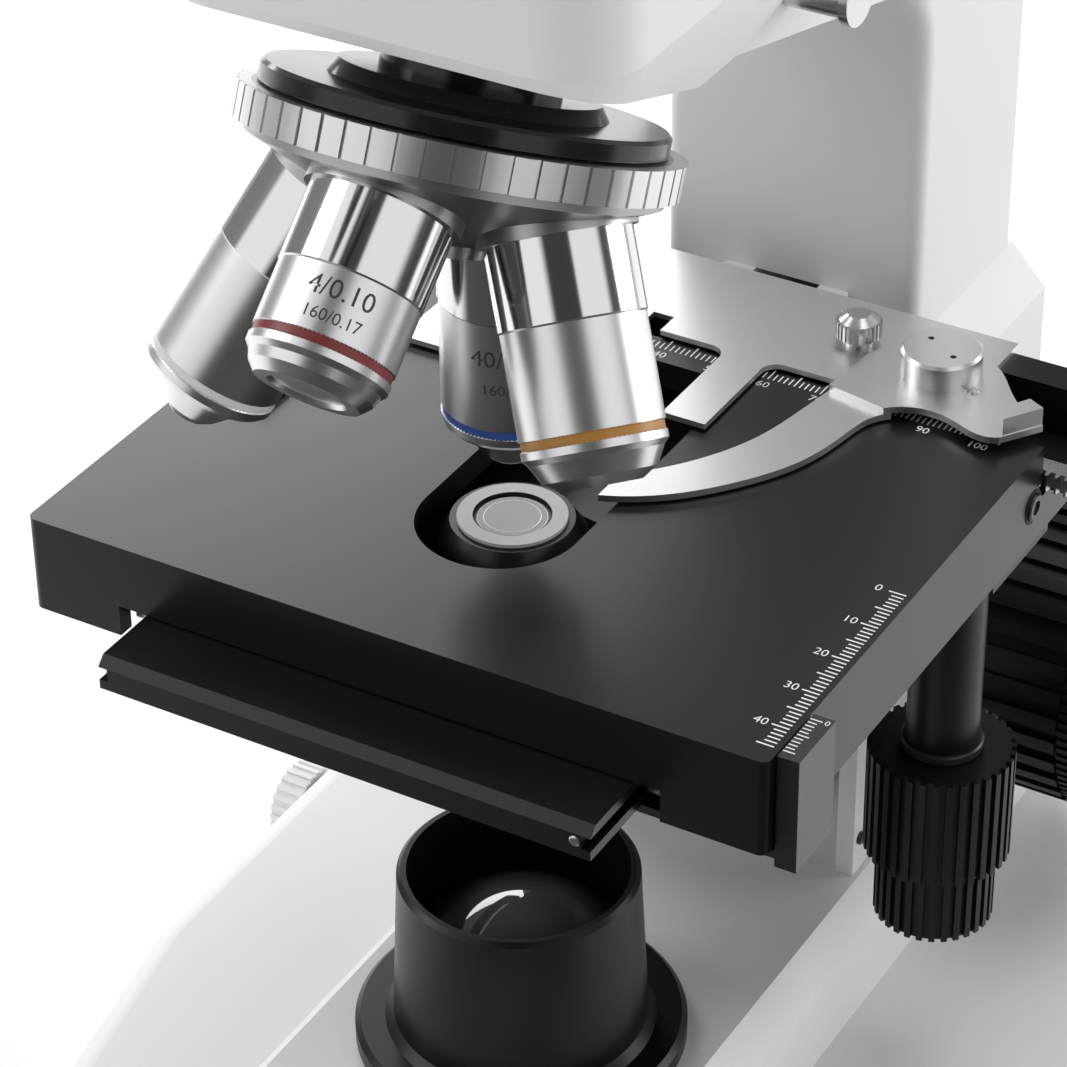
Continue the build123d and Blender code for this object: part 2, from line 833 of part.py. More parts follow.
# Focus carriage on the dovetail of the arm
with BuildPart() as stage_carriage:
    with BuildSketch(Plane.XY.offset(carriage_bottom)):
        with Locations((0, (carriage_front + arm_front - seat_gap) / 2)):
            Rectangle(2 * carriage_half, arm_front - seat_gap - carriage_front)
    extrude(amount=lower_bottom - carriage_bottom)
    with BuildSketch(Plane.XY.offset(carriage_bottom)):
        filled([
            (-guide_root_half - slide_gap, arm_front),
            (-guide_tip_half - slide_gap, arm_front - guide_depth - slide_gap),
            (guide_tip_half + slide_gap, arm_front - guide_depth - slide_gap),
            (guide_root_half + slide_gap, arm_front),
        ])
    extrude(amount=lower_bottom - carriage_bottom, mode=Mode.SUBTRACT)
    with BuildSketch(Plane.XY.offset(condenser_guide_bottom)):
        filled([
            (-condenser_guide_root, carriage_front),
            (-condenser_guide_tip, carriage_front - condenser_guide_depth),
            (condenser_guide_tip, carriage_front - condenser_guide_depth),
            (condenser_guide_root, carriage_front),
        ])
    extrude(amount=lower_bottom - condenser_guide_bottom)
    for side in (-1, 1):
        with BuildSketch(Plane.YZ.offset(side * bracket_inner)):
            filled([
                (carriage_front + 1, lower_bottom),
                (bracket_front, lower_bottom),
                (bracket_front, lower_bottom - bracket_thick),
                (carriage_front - 14, lower_bottom - bracket_thick),
                (carriage_front, lower_bottom - 3 * bracket_thick),
                (carriage_front + 1, lower_bottom - 3 * bracket_thick),
            ])
        extrude(amount=side * bracket_width)
keep("stage_carriage", stage_carriage)

focus_line = drive_y - focus_pinion_radius
with BuildPart() as focus_rack:
    with BuildSketch(Plane(origin=(focus_rack_half, focus_line, drive_z), x_dir=(0, 0, 1), z_dir=(-1, 0, 0))):
        filled(rack_outline(
            focus_rack_bottom - drive_z,
            focus_rack_top - drive_z,
            focus_tooth_pitch,
            focus_tooth_height,
            focus_line - arm_front + guide_depth + slide_gap,
        ))
    extrude(amount=2 * focus_rack_half)
keep("focus_rack", focus_rack)

across = Vector(1, 0, 0)
drive_centre = Vector(0, drive_y, drive_z)
with BuildPart() as coarse_shaft:
    shaft_end = coarse_knob_start + 4
    turned(drive_centre, across, [
        (fine_shaft_radius + shaft_gap, -shaft_end),
        (coarse_shaft_radius, -shaft_end),
        (coarse_shaft_radius, -focus_slot_half),
        (fine_shaft_radius + 0.9, -focus_slot_half),
        (fine_shaft_radius + 0.9, focus_slot_half),
        (coarse_shaft_radius, focus_slot_half),
        (coarse_shaft_radius, shaft_end),
        (fine_shaft_radius + shaft_gap, shaft_end),
    ])
    with BuildSketch(cross_plane((-focus_slot_half, drive_y, drive_z))):
        filled(pinion_outline(focus_teeth, focus_tooth_pitch, focus_tooth_height))
        Circle(fine_shaft_radius + shaft_gap, mode=Mode.SUBTRACT)
    extrude(amount=2 * focus_slot_half)
keep("coarse_shaft", coarse_shaft)

with BuildPart() as fine_shaft:
    with BuildSketch(cross_plane((-coarse_knob_end - 2, drive_y, drive_z))):
        Circle(fine_shaft_radius)
    extrude(amount=2 * (coarse_knob_end + 2))
keep("fine_shaft", fine_shaft)

with BuildPart() as tension_ring:
    with BuildSketch(cross_plane((housing_half + seat_gap, drive_y, drive_z))):
        ribbed_disc(tension_ring_radius, 60, 0.6)
        Circle(coarse_shaft_radius + shaft_gap, mode=Mode.SUBTRACT)
    extrude(amount=tension_ring_width)
keep("tension_ring", tension_ring)

for side, name in ((-1, "left"), (1, "right")):
    outward = Vector(side, 0, 0)
    with BuildPart() as coarse_knob:
        knob_face = drive_centre + outward * coarse_knob_start
        with BuildSketch(Plane(origin=knob_face, x_dir=(0, 1, 0), z_dir=outward)):
            ribbed_disc(coarse_knob_radius, coarse_knob_ribs, 1.3)
        extrude(amount=coarse_knob_end - coarse_knob_start)
        turned(drive_centre, outward, [
            (0, coarse_knob_start),
            (coarse_shaft_radius, coarse_knob_start),
            (coarse_shaft_radius, coarse_knob_start + 4),
            (fine_shaft_radius + shaft_gap, coarse_knob_start + 4),
            (fine_shaft_radius + shaft_gap, coarse_knob_end),
            (0, coarse_knob_end),
        ], mode=Mode.SUBTRACT)
    keep("coarse_knob_" + name, coarse_knob)
    with BuildPart() as fine_knob:
        fine_start = coarse_knob_end + seat_gap
        with BuildSketch(Plane(origin=drive_centre + outward * fine_start, x_dir=(0, 1, 0), z_dir=outward)):
            ribbed_disc(fine_rim_radius, fine_rim_ribs, 0.5)
        extrude(amount=fine_rim_width)
        with BuildSketch(Plane(origin=drive_centre + outward * (fine_start + fine_rim_width), x_dir=(0, 1, 0),
                               z_dir=outward)):
            ribbed_disc(fine_knob_radius, 30, 0.7)
        extrude(amount=fine_knob_width)
        with BuildSketch(Plane(origin=drive_centre + outward * fine_start, x_dir=(0, 1, 0), z_dir=outward)):
            Circle(fine_shaft_radius)
        extrude(amount=2 - seat_gap, mode=Mode.SUBTRACT)
    keep("fine_knob_" + name, fine_knob)

# Lower stage plate, fixed to the carriage, with the rack that moves the top of the stage
with BuildPart() as lower_stage_plate:
    with BuildSketch(Plane.XY.offset(lower_bottom)):
        with Locations((0, (lower_front + lower_back) / 2)):
            Rectangle(2 * lower_half, lower_back - lower_front)
        Circle(lower_hole, mode=Mode.SUBTRACT)
    extrude(amount=lower_thick)
    chamfer(edges().filter_by(Axis.X).group_by(Axis.Z)[-1].sort_by(Axis.Y)[0], length=1.6)
    for side in (-1, 1):
        with BuildSketch(Plane.XZ.offset(-lower_back)):
            with Locations((side * (lower_half - groove_depth / 2), lower_top - groove_drop)):
                Rectangle(groove_depth, groove_width)
        extrude(amount=lower_back - lower_front, mode=Mode.SUBTRACT)
keep("lower_stage_plate", lower_stage_plate)

y_line = drive_x - pinion_radius
with BuildPart() as y_rack:
    with BuildSketch(Plane(origin=(y_line, drive_back, lower_top - lower_thick + 1.3), x_dir=(0, -1, 0),
                           z_dir=(0, 0, 1))):
        filled(rack_outline(
            drive_back - y_rack_back,
            drive_back - y_rack_front,
            tooth_pitch,
            tooth_height,
            y_line - lower_half,
        ))
    extrude(amount=y_rack_height)
keep("y_rack", y_rack)

# Vernier that reads the scale along the right edge, on a strip under the lower plate
with BuildPart() as vernier_bracket:
    with BuildSketch(Plane.XY.offset(lower_bottom - vernier_strip)):
        with Locations(((vernier_inner_x + table_half + seat_gap + vernier_thick) / 2,
                        vernier_front + vernier_length / 2)):
            Rectangle(table_half + seat_gap + vernier_thick - vernier_inner_x, vernier_length)
    extrude(amount=vernier_strip)
    with BuildSketch(Plane.XY.offset(lower_bottom - 2 * vernier_strip)):
        with Locations((table_half + seat_gap + vernier_thick / 2, vernier_front + vernier_length / 2)):
            Rectangle(vernier_thick, vernier_length)
    extrude(amount=stage_top - lower_bottom + 2 * vernier_strip)
keep("vernier_bracket", vernier_bracket)

# Top of the stage: a hollow table that slides to and fro over the lower plate
channel_left = -lower_half - guide_rail_thick - seat_gap
channel_right = y_line + 1.6
with BuildPart() as top_stage_plate:
    with BuildSketch(Plane.XY.offset(table_bottom)):
        with Locations((0, (table_front + table_back) / 2)):
            RectangleRounded(2 * table_half, table_back - table_front, 1.5)
    extrude(amount=table_thick)
    with BuildSketch(Plane.XY.offset(shelf_top)):
        with Locations((0, (roof_back + table_back) / 2)):
            Rectangle(2 * table_half + 2, table_back - roof_back + 0.01)
    extrude(amount=shelf_drop, mode=Mode.SUBTRACT)
    with BuildSketch(Plane.XY.offset(table_bottom)):
        with Locations((0, (table_front + roof_back) / 2)):
            Rectangle(2 * (table_half - table_wall), roof_back - table_front - 2 * table_wall)
    extrude(amount=ceiling - table_bottom, mode=Mode.SUBTRACT)
    with BuildSketch(Plane.XY.offset(shelf_top)):
        with Locations((0, roof_back - table_wall)):
            Rectangle(2 * (table_half - table_wall), 4 * table_wall)
    extrude(amount=ceiling - shelf_top, mode=Mode.SUBTRACT)
    with BuildSketch(Plane.XY.offset(shelf_top)):
        with Locations((table_half, (roof_back + x_rack_front) / 2)):
            Rectangle(4 * table_wall, roof_back - x_rack_front + 0.02)
    extrude(amount=ceiling - shelf_top, mode=Mode.SUBTRACT)
    with BuildSketch(Plane.XY.offset(table_bottom)):
        with Locations(((channel_left + channel_right) / 2, (table_front + table_back) / 2)):
            Rectangle(channel_right - channel_left, table_back - table_front)
    extrude(amount=lower_top + seat_gap - table_bottom, mode=Mode.SUBTRACT)
    with BuildSketch(Plane.XY.offset(table_bottom)):
        with Locations((drive_x, drive_back)):
            Circle(pinion_pocket)
    extrude(amount=ceiling - table_bottom, mode=Mode.SUBTRACT)
    with BuildSketch(Plane.XY.offset(ceiling)):
        with Locations((0, slot_front_centre)):
            Circle(slot_half)
        with Locations((0, (slot_front_centre + slot_back) / 2)):
            Rectangle(2 * slot_half, slot_back - slot_front_centre)
        fillet(vertices().group_by(Axis.Y)[-1], radius=slot_corner)
    extrude(amount=table_roof, mode=Mode.SUBTRACT)
    with BuildSketch(Plane.XY.offset(shelf_top)):
        with Locations((0, (rail_front + rail_back) / 2)):
            Rectangle(2 * table_half, key_width)
    extrude(amount=key_height)
keep("top_stage_plate", top_stage_plate)

with BuildPart() as stage_guide_rails:
    for side, front, back in (
        (-1, table_front + 4, roof_back - 4),
        (1, table_front + 4, y_rack_front - 5),
    ):
        lip_z = lower_top - groove_drop
        with BuildSketch(Plane.XZ.offset(-back)):
            filled([
                (side * (lower_half + seat_gap), ceiling),
                (side * (lower_half + guide_rail_thick), ceiling),
                (side * (lower_half + guide_rail_thick), lip_z - groove_width / 2 + slide_gap),
                (side * (lower_half - groove_depth + seat_gap), lip_z - groove_width / 2 + slide_gap),
                (side * (lower_half - groove_depth + seat_gap), lip_z + groove_width / 2 - slide_gap),
                (side * (lower_half + seat_gap), lip_z + groove_width / 2 - slide_gap),
            ])
        extrude(amount=back - front)
keep("stage_guide_rails", stage_guide_rails)

# Coaxial stage drive hanging under the right corner
y_knob_bottom = y_knob_top - y_knob_width
x_knob_top = y_knob_bottom - seat_gap
with BuildPart() as stage_control_sleeve:
    with BuildSketch(Plane.XY.offset(table_bottom)):
        with Locations(((channel_right + table_half) / 2, drive_back)):
            Rectangle(table_half - channel_right - 1, 22)
    extrude(amount=-sleeve_flange)
    with BuildSketch(Plane.XY.offset(table_bottom - sleeve_flange)):
        with Locations((drive_x, drive_back)):
            Circle(sleeve_radius)
    extrude(amount=y_knob_top + seat_gap - table_bottom + sleeve_flange)
    with BuildSketch(Plane.XY.offset(table_bottom)):
        with Locations((drive_x, drive_back)):
            Circle(y_tube_radius + shaft_gap)
    extrude(amount=y_knob_top - table_bottom, mode=Mode.SUBTRACT)
keep("stage_control_sleeve", stage_control_sleeve)

with BuildPart() as y_knob:
    with BuildSketch(Plane.XY.offset(y_knob_bottom)):
        with Locations((drive_x, drive_back)):
            ribbed_disc(y_knob_radius, y_knob_ribs, 0.9)
    extrude(amount=y_knob_width)
    with BuildSketch(Plane.XY.offset(y_knob_top)):
        with Locations((drive_x, drive_back)):
            Circle(y_tube_radius)
    extrude(amount=y_pinion_bottom - y_knob_top)
    with BuildSketch(Plane(origin=(drive_x, drive_back, y_pinion_bottom))):
        filled(pinion_outline(pinion_teeth, tooth_pitch, tooth_height))
    extrude(amount=pinion_thick)
    with BuildSketch(Plane.XY.offset(y_knob_bottom)):
        with Locations((drive_x, drive_back)):
            Circle(x_shaft_radius + shaft_gap)
    extrude(amount=y_pinion_bottom + pinion_thick - y_knob_bottom, mode=Mode.SUBTRACT)
keep("y_knob", y_knob)

with BuildPart() as x_shaft:
    with BuildSketch(Plane.XY.offset(x_knob_top - 6)):
        with Locations((drive_x, drive_back)):
            Circle(x_shaft_radius)
    extrude(amount=x_pinion_bottom - x_knob_top + 6)
    with BuildSketch(Plane(origin=(drive_x, drive_back, x_pinion_bottom))):
        filled(pinion_outline(pinion_teeth, tooth_pitch, tooth_height))
    extrude(amount=pinion_thick)
keep("x_shaft", x_shaft)

with BuildPart() as x_knob:
    with BuildSketch(Plane.XY.offset(x_knob_top)):
        with Locations((drive_x, drive_back)):
            ribbed_disc(x_knob_radius, x_knob_ribs, 0.9)
    extrude(amount=-x_knob_width)
    with BuildSketch(Plane.XY.offset(x_knob_top)):
        with Locations((drive_x, drive_back)):
            Circle(x_shaft_radius)
    extrude(amount=-6, mode=Mode.SUBTRACT)
keep("x_knob", x_knob)

# Rail that carries the slide holder from side to side, and its rack
x_line = drive_back + pinion_radius
rail_top = stage_top + rail_rise
with BuildPart() as x_rail:
    with BuildSketch(Plane.XY.offset(shelf_top)):
        with Locations(((rail_left + rail_right) / 2, (rail_front + rail_back) / 2)):
            Rectangle(rail_right - rail_left, rail_back - rail_front)
    extrude(amount=rail_top - shelf_top)
    with BuildSketch(Plane.XY.offset(shelf_top)):
        with Locations(((rack_left + rail_right) / 2, (x_line + 2 + rail_front) / 2)):
            Rectangle(rail_right - rack_left, rail_front - x_line - 2)
    extrude(amount=flange_thick)
    with BuildSketch(Plane.XY.offset(shelf_top)):
        with Locations(((rail_left + rail_right) / 2, (rail_front + rail_back) / 2)):
            Rectangle(rail_right - rail_left, key_width + 2 * slide_gap)
    extrude(amount=key_height + seat_gap, mode=Mode.SUBTRACT)
    with BuildSketch(Plane.XY.offset(rail_top - lug_bottom_drop)):
        with Locations((thumb_x[0], (thumb_y + rail_front) / 2), (thumb_x[1], (thumb_y + rail_front) / 2)):
            Rectangle(10, rail_front - thumb_y + 8)
        with Locations((thumb_x[0], thumb_y), (thumb_x[1], thumb_y)):
            Circle(thumb_shank + shaft_gap, mode=Mode.SUBTRACT)
    extrude(amount=lug_bottom_drop)
keep("x_rail", x_rail)

with BuildPart() as x_rack:
    rack_foot = Vector(drive_x, x_line, shelf_top + flange_thick)
    rack_first = drive_x - rail_right
    rack_last = drive_x - rack_left
    with BuildSketch(Plane(origin=rack_foot, x_dir=(-1, 0, 0), z_dir=(0, 0, 1))):
        filled(rack_outline(rack_first, rack_last, tooth_pitch, tooth_height, x_rack_depth))
    extrude(amount=x_rack_height)
keep("x_rack", x_rack)

holder_top = rail_top + holder_thick
with BuildPart() as slide_holder_plate:
    with BuildSketch(Plane.XY.offset(rail_top)):
        filled([
            (holder_left, jaw_front),
            (jaw_inner, jaw_front),
            (jaw_inner, window_back),
            (left_finger[0], window_back),
            (left_finger[0], finger_front),
            (left_finger[1], finger_front),
            (left_finger[1], window_back),
            (vernier_notch[0], window_back),
            (vernier_notch[0], window_back + 5),
            (vernier_notch[1], window_back + 5),
            (vernier_notch[1], window_back),
            (right_finger[0], window_back),
            (right_finger[0], finger_front),
            (right_finger[1], finger_front),
            (right_finger[1], window_back),
            (hub_window - 4, window_back),
            (hub_window, holder_hub_front),
            (holder_right, holder_hub_front),
            (holder_right, holder_back),
            (holder_left, holder_back),
        ])
        inner = sketch_vertices_at(((jaw_inner, window_back), (left_finger[0], window_back),
                                    (left_finger[1], window_back), (right_finger[0], window_back),
                                    (right_finger[1], window_back)))
        fillet(inner, radius=3)
        with Locations((thumb_x[0], thumb_y), (thumb_x[1], thumb_y)):
            Circle(thumb_shank + shaft_gap, mode=Mode.SUBTRACT)
    extrude(amount=holder_thick)
keep("slide_holder_plate", slide_holder_plate)

with BuildPart() as holder_thumb_screws:
    for x in thumb_x:
        with BuildSketch(Plane.XY.offset(holder_top)):
            with Locations((x, thumb_y)):
                Circle(thumb_neck)
        extrude(amount=thumb_height)
        with BuildSketch(Plane.XY.offset(holder_top + thumb_height - thumb_grip)):
            with Locations((x, thumb_y)):
                ribbed_disc(thumb_radius, 26, 0.25)
        extrude(amount=thumb_grip)
        with BuildSketch(Plane.XY.offset(holder_top + thumb_height)):
            with Locations((x, thumb_y)):
                Circle(thumb_radius - 0.6)
        extrude(amount=thumb_cone, taper=50)
        with BuildSketch(Plane.XY.offset(rail_top - lug_bottom_drop + 0.5)):
            with Locations((x, thumb_y)):
                Circle(thumb_shank)
        extrude(amount=holder_thick + lug_bottom_drop - 0.5)
keep("holder_thumb_screws", holder_thumb_screws)

# Curved finger that grips the slide from the right
finger_bottom = stage_top + lever_lift
hub_bottom = finger_bottom + lever_thick
with BuildPart() as finger_lever:
    with BuildSketch(Plane.XY.offset(finger_bottom)):
        lever_outline()
        filled_area(finger_zone(0), Mode.INTERSECT)
    extrude(amount=lever_thick)
    with BuildSketch(Plane.XY.offset(hub_bottom)):
        lever_outline()
        filled_area(finger_zone(lever_step), Mode.SUBTRACT)
        with Locations(lever_pivot):
            Circle(cap_pin + shaft_gap, mode=Mode.SUBTRACT)
    extrude(amount=lever_thick)
    with BuildSketch(Plane.XY.offset(hub_bottom)):
        filled([(60.4, 58.6), (61.7, 54.6), (66.0, 61.0), (62.9, 62.6)])
    extrude(amount=tab_height)
keep("finger_lever", finger_lever)

with BuildPart() as pivot_drum:
    with BuildSketch(Plane.XY.offset(hub_bottom + lever_thick)):
        with Locations(lever_pivot):
            Circle(cap_radius)
    extrude(amount=cap_height)
    chamfer(edges().group_by(Axis.Z)[-1], length=0.5)
    with BuildSketch(Plane.XY.offset(hub_bottom + lever_thick + cap_height)):
        with Locations(lever_pivot):
            with PolarLocations(cap_hole_spacing / 2, 2, start_angle=-33):
                Circle(cap_hole)
    extrude(amount=-2, mode=Mode.SUBTRACT)
    with BuildSketch(Plane.XY.offset(holder_top)):
        with Locations(lever_pivot):
            Circle(cap_pin)
    extrude(amount=hub_bottom + lever_thick - holder_top)
keep("pivot_drum", pivot_drum)

# Turret and its grip ring
cone_start = shoulder_reach - 0.6
body_radius = ring_radius - ring_wall


def objective_dir(turn):
    """Direction of an objective's axis, turned round the turret from the working place."""
    back = Vector(0, cos(lean), -sin(lean))
    side = Vector(1, 0, 0)
    return turret_dir * cos(lean) + (back * cos(radians(turn)) + side * sin(radians(turn))) * sin(lean)


def cone_reach(radius):
    """Distance along the turret axis where the lower cone has the given radius."""
    return cone_start / cos(lean) - radius * tan(lean)


with BuildPart() as turret:
    turned(apex, turret_dir, [
        (pivot_radius + shaft_gap, ring_reach + bowl_wall),
        (body_radius - bowl_wall, ring_reach + bowl_wall),
        (body_radius - bowl_wall, ring_reach),
        (body_radius, ring_reach),
        (body_radius, cone_reach(body_radius)),
        (hub_radius, cone_reach(hub_radius)),
        (hub_radius, turret_nut + 1),
        (0, turret_nut + 1),
        (0, turret_nut + seat_gap),
        (pivot_radius + shaft_gap, turret_nut + seat_gap),
    ])
    for turn in (0, 90, 180, 270):
        place = objective_dir(turn)
        turned(apex, place, [
            (0, cone_start - 5),
            (boss_radius, cone_start - 5),
            (boss_radius, shoulder_reach),
            (0, shoulder_reach),
        ])
    for turn in (0, 90, 180, 270):
        place = objective_dir(turn)
        turned(apex, place, [
            (0, ring_reach + 1),
            (path_in_turret, ring_reach + 1),
            (path_in_turret, shoulder_reach - thread_length - seat_gap),
            (thread_radius, shoulder_reach - thread_length - seat_gap),
            (thread_radius, shoulder_reach + 1),
            (0, shoulder_reach + 1),
        ], mode=Mode.SUBTRACT)
keep("turret", turret)

with BuildPart() as turret_grip_ring:
    with BuildSketch(Plane(origin=apex + turret_dir * ring_reach, x_dir=(1, 0, 0), z_dir=turret_dir)):
        ribbed_disc(ring_radius, ring_ribs, ring_rib_depth, share=0.16)
        Circle(body_radius, mode=Mode.SUBTRACT)
    extrude(amount=ring_width)
keep("turret_grip_ring", turret_grip_ring)

# Objectives, screwed into the turret
for label, (turn, chrome_end, ring, tip, tip_radius) in objective_sizes.items():
    direction = objective_dir(turn)
    shoulder = ring + 2.4
    sprung = label in ("objective_40x", "objective_100x")
    outline = [
        (0, shoulder_reach - thread_length + 2),
        (barrel_bore, shoulder_reach - thread_length + 2),
        (barrel_bore, shoulder_reach - thread_length),
        (thread_radius, shoulder_reach - thread_length),
        (thread_radius, shoulder_reach),
        (chrome_radius, shoulder_reach),
        (chrome_radius, chrome_end),
        (barrel_radius, chrome_end + 0.3),
        (barrel_radius, ring - ring_line - 0.2),
        (barrel_radius - 0.25, ring - ring_line),
        (barrel_radius - 0.25, ring + ring_line),
        (barrel_radius, ring + ring_line + 0.2),
        (barrel_radius, shoulder - 0.4),
        (barrel_radius - 0.8, shoulder + 0.5),
    ]
    if sprung:
        outline += [
            (nose_root_radius + shaft_gap, shoulder + 0.5),
            (nose_root_radius + shaft_gap, shoulder - nose_cell_length - nose_travel - seat_gap),
            (0, shoulder - nose_cell_length - nose_travel - seat_gap),
        ]
    else:
        outline += [
            ((barrel_radius + tip_radius) / 2 + 0.4, tip - 1.6),
            (tip_radius + 0.7, tip),
            (tip_radius - 1.4, tip),
            (tip_radius - 2.0, tip - 0.6),
            (0, tip - 0.6),
        ]
    with BuildPart() as objective:
        turned(apex, direction, outline)
    keep(label, objective)
    if sprung:
        with BuildPart() as nose:
            turned(apex, direction, [
                (0, shoulder - nose_cell_length),
                (nose_root_radius, shoulder - nose_cell_length),
                (nose_root_radius, shoulder + 1.6),
                (tip_radius + 1.5, tip - 1.2),
                (tip_radius, tip),
                (tip_radius - 1.6, tip),
                (tip_radius - 2.0, tip - 0.4),
                (0, tip - 0.4),
            ])
        keep(label + "_nose", nose)

# Condenser on its own dovetail
pin_x = filter_pin_reach * cos(radians(filter_pin_angle))
pin_y = filter_pin_reach * sin(radians(filter_pin_angle))
with BuildPart() as condenser_carrier:
    with BuildSketch(Plane.XY.offset(mount_bottom)):
        with Locations((0, (mount_front + carriage_front - seat_gap) / 2)):
            Rectangle(2 * mount_half, carriage_front - seat_gap - mount_front)
    extrude(amount=mount_ring_bottom + mount_ring_thick - mount_bottom)
    with BuildSketch(Plane.XY.offset(mount_ring_bottom)):
        Circle(mount_ring_radius)
        with Locations((0, mount_front / 2 + 2)):
            Rectangle(mount_half, mount_front + 4)
    extrude(amount=mount_ring_thick)
    with BuildSketch(Plane.XY.offset(mount_ring_bottom)):
        Circle(condenser_radius + shaft_gap)
    extrude(amount=mount_ring_thick, mode=Mode.SUBTRACT)
    with BuildSketch(Plane.XY.offset(mount_bottom)):
        filled([
            (-condenser_guide_root - slide_gap, carriage_front),
            (-condenser_guide_tip - slide_gap, carriage_front - condenser_guide_depth - slide_gap),
            (condenser_guide_tip + slide_gap, carriage_front - condenser_guide_depth - slide_gap),
            (condenser_guide_root + slide_gap, carriage_front),
        ])
    extrude(amount=mount_ring_bottom + mount_ring_thick - mount_bottom, mode=Mode.SUBTRACT)
    with BuildSketch(Plane.YZ.offset(-mount_half)):
        with Locations((condenser_knob_y, condenser_knob_z)):
            Circle(condenser_knob_shaft + shaft_gap)
    extrude(amount=5, mode=Mode.SUBTRACT)
    with BuildSketch(Plane.XY.offset(mount_ring_bottom)):
        with Locations((pin_x, pin_y)):
            Circle(filter_pin_radius + shaft_gap)
    extrude(amount=filter_pin_depth + seat_gap, mode=Mode.SUBTRACT)
keep("condenser_carrier", condenser_carrier)

with BuildPart() as condenser_body:
    turned(Vector(0, 0, 0), Vector(0, 0, 1), [
        (condenser_light, condenser_base_z),
        (condenser_radius - 0.5, condenser_base_z),
        (condenser_radius, condenser_base_z + 0.5),
        (condenser_radius, mount_ring_bottom + mount_ring_thick),
        (condenser_flange, mount_ring_bottom + mount_ring_thick),
        (condenser_flange, iris_bottom - seat_gap),
        (iris_neck, iris_bottom - seat_gap),
        (iris_neck, iris_bottom + iris_thick + seat_gap),
        (condenser_radius, iris_bottom + iris_thick + seat_gap),
        (condenser_radius, condenser_shoulder),
        (condenser_root_radius, condenser_shoulder + 0.6),
        (condenser_root_radius, lower_top - 1),
        (condenser_cone_radius, lower_top + 2),
        (condenser_cone_radius, stage_top - condenser_drop - 4),
        (condenser_ring_radius + 1.2, stage_top - condenser_drop - 0.6),
        (condenser_ring_radius, stage_top - condenser_drop - 0.6),
        (condenser_ring_radius, stage_top - condenser_drop),
        (condenser_lens_radius, stage_top - condenser_drop),
        (condenser_lens_radius, stage_top - condenser_drop - 4),
        (condenser_light, stage_top - condenser_drop - 4),
    ])
keep("condenser_body", condenser_body)

lens_top = stage_top - condenser_drop - 0.5
with BuildPart() as condenser_lens:
    turned(Vector(0, 0, 0), Vector(0, 0, 1), [
        (0, lens_top - 3.5),
        (condenser_lens_radius - shaft_gap, lens_top - 3.5),
        (condenser_lens_radius - shaft_gap, lens_top - 0.4),
        (condenser_lens_radius - 1, lens_top),
        (0, lens_top),
    ])
keep("condenser_lens", condenser_lens)

with BuildPart() as iris_lever:
    with BuildSketch(Plane.XY.offset(iris_bottom)):
        Circle(condenser_radius)
        with PolarLocations(0, 1, start_angle=iris_angle):
            with Locations((iris_reach / 2, 0)):
                SlotOverall(iris_reach, 5)
        Circle(iris_neck + shaft_gap, mode=Mode.SUBTRACT)
    extrude(amount=iris_thick)
keep("iris_lever", iris_lever)

with BuildPart() as filter_holder:
    with BuildSketch(Plane.XY.offset(filter_top)):
        Circle(filter_ring_radius)
        with Locations((pin_x, pin_y)):
            Circle(filter_ear_radius)
        Circle(filter_glass_radius, mode=Mode.SUBTRACT)
    extrude(amount=-filter_thick)
    with BuildSketch(Plane.XY.offset(filter_top)):
        with PolarLocations(0, 1, start_angle=filter_pin_angle + 180):
            with Locations((filter_ring_radius + 3, 0)):
                SlotOverall(10, 5)
    extrude(amount=-filter_thick)
    with BuildSketch(Plane.XY.offset(filter_top - filter_thick)):
        Circle(filter_ring_radius)
        Circle(filter_glass_radius - 1.5, mode=Mode.SUBTRACT)
    extrude(amount=-0.8)
    with BuildSketch(Plane.XY.offset(filter_top)):
        with Locations((pin_x, pin_y)):
            Circle(filter_pin_radius)
    extrude(amount=mount_ring_bottom - filter_top + filter_pin_depth)
keep("filter_holder", filter_holder)

with BuildPart() as filter_glass:
    with BuildSketch(Plane.XY.offset(filter_top - 0.4)):
        Circle(filter_glass_radius - shaft_gap)
    extrude(amount=0.4 - filter_thick)
keep("filter_glass", filter_glass)

with BuildPart() as condenser_knob:
    with BuildSketch(Plane.YZ.offset(-mount_half - seat_gap)):
        with Locations((condenser_knob_y, condenser_knob_z)):
            ribbed_disc(condenser_knob_radius, 32, 0.8)
    extrude(amount=-condenser_knob_width)
    with BuildSketch(Plane.YZ.offset(-mount_half - seat_gap)):
        with Locations((condenser_knob_y, condenser_knob_z)):
            Circle(condenser_knob_shaft)
    extrude(amount=4.5)
keep("condenser_knob", condenser_knob)

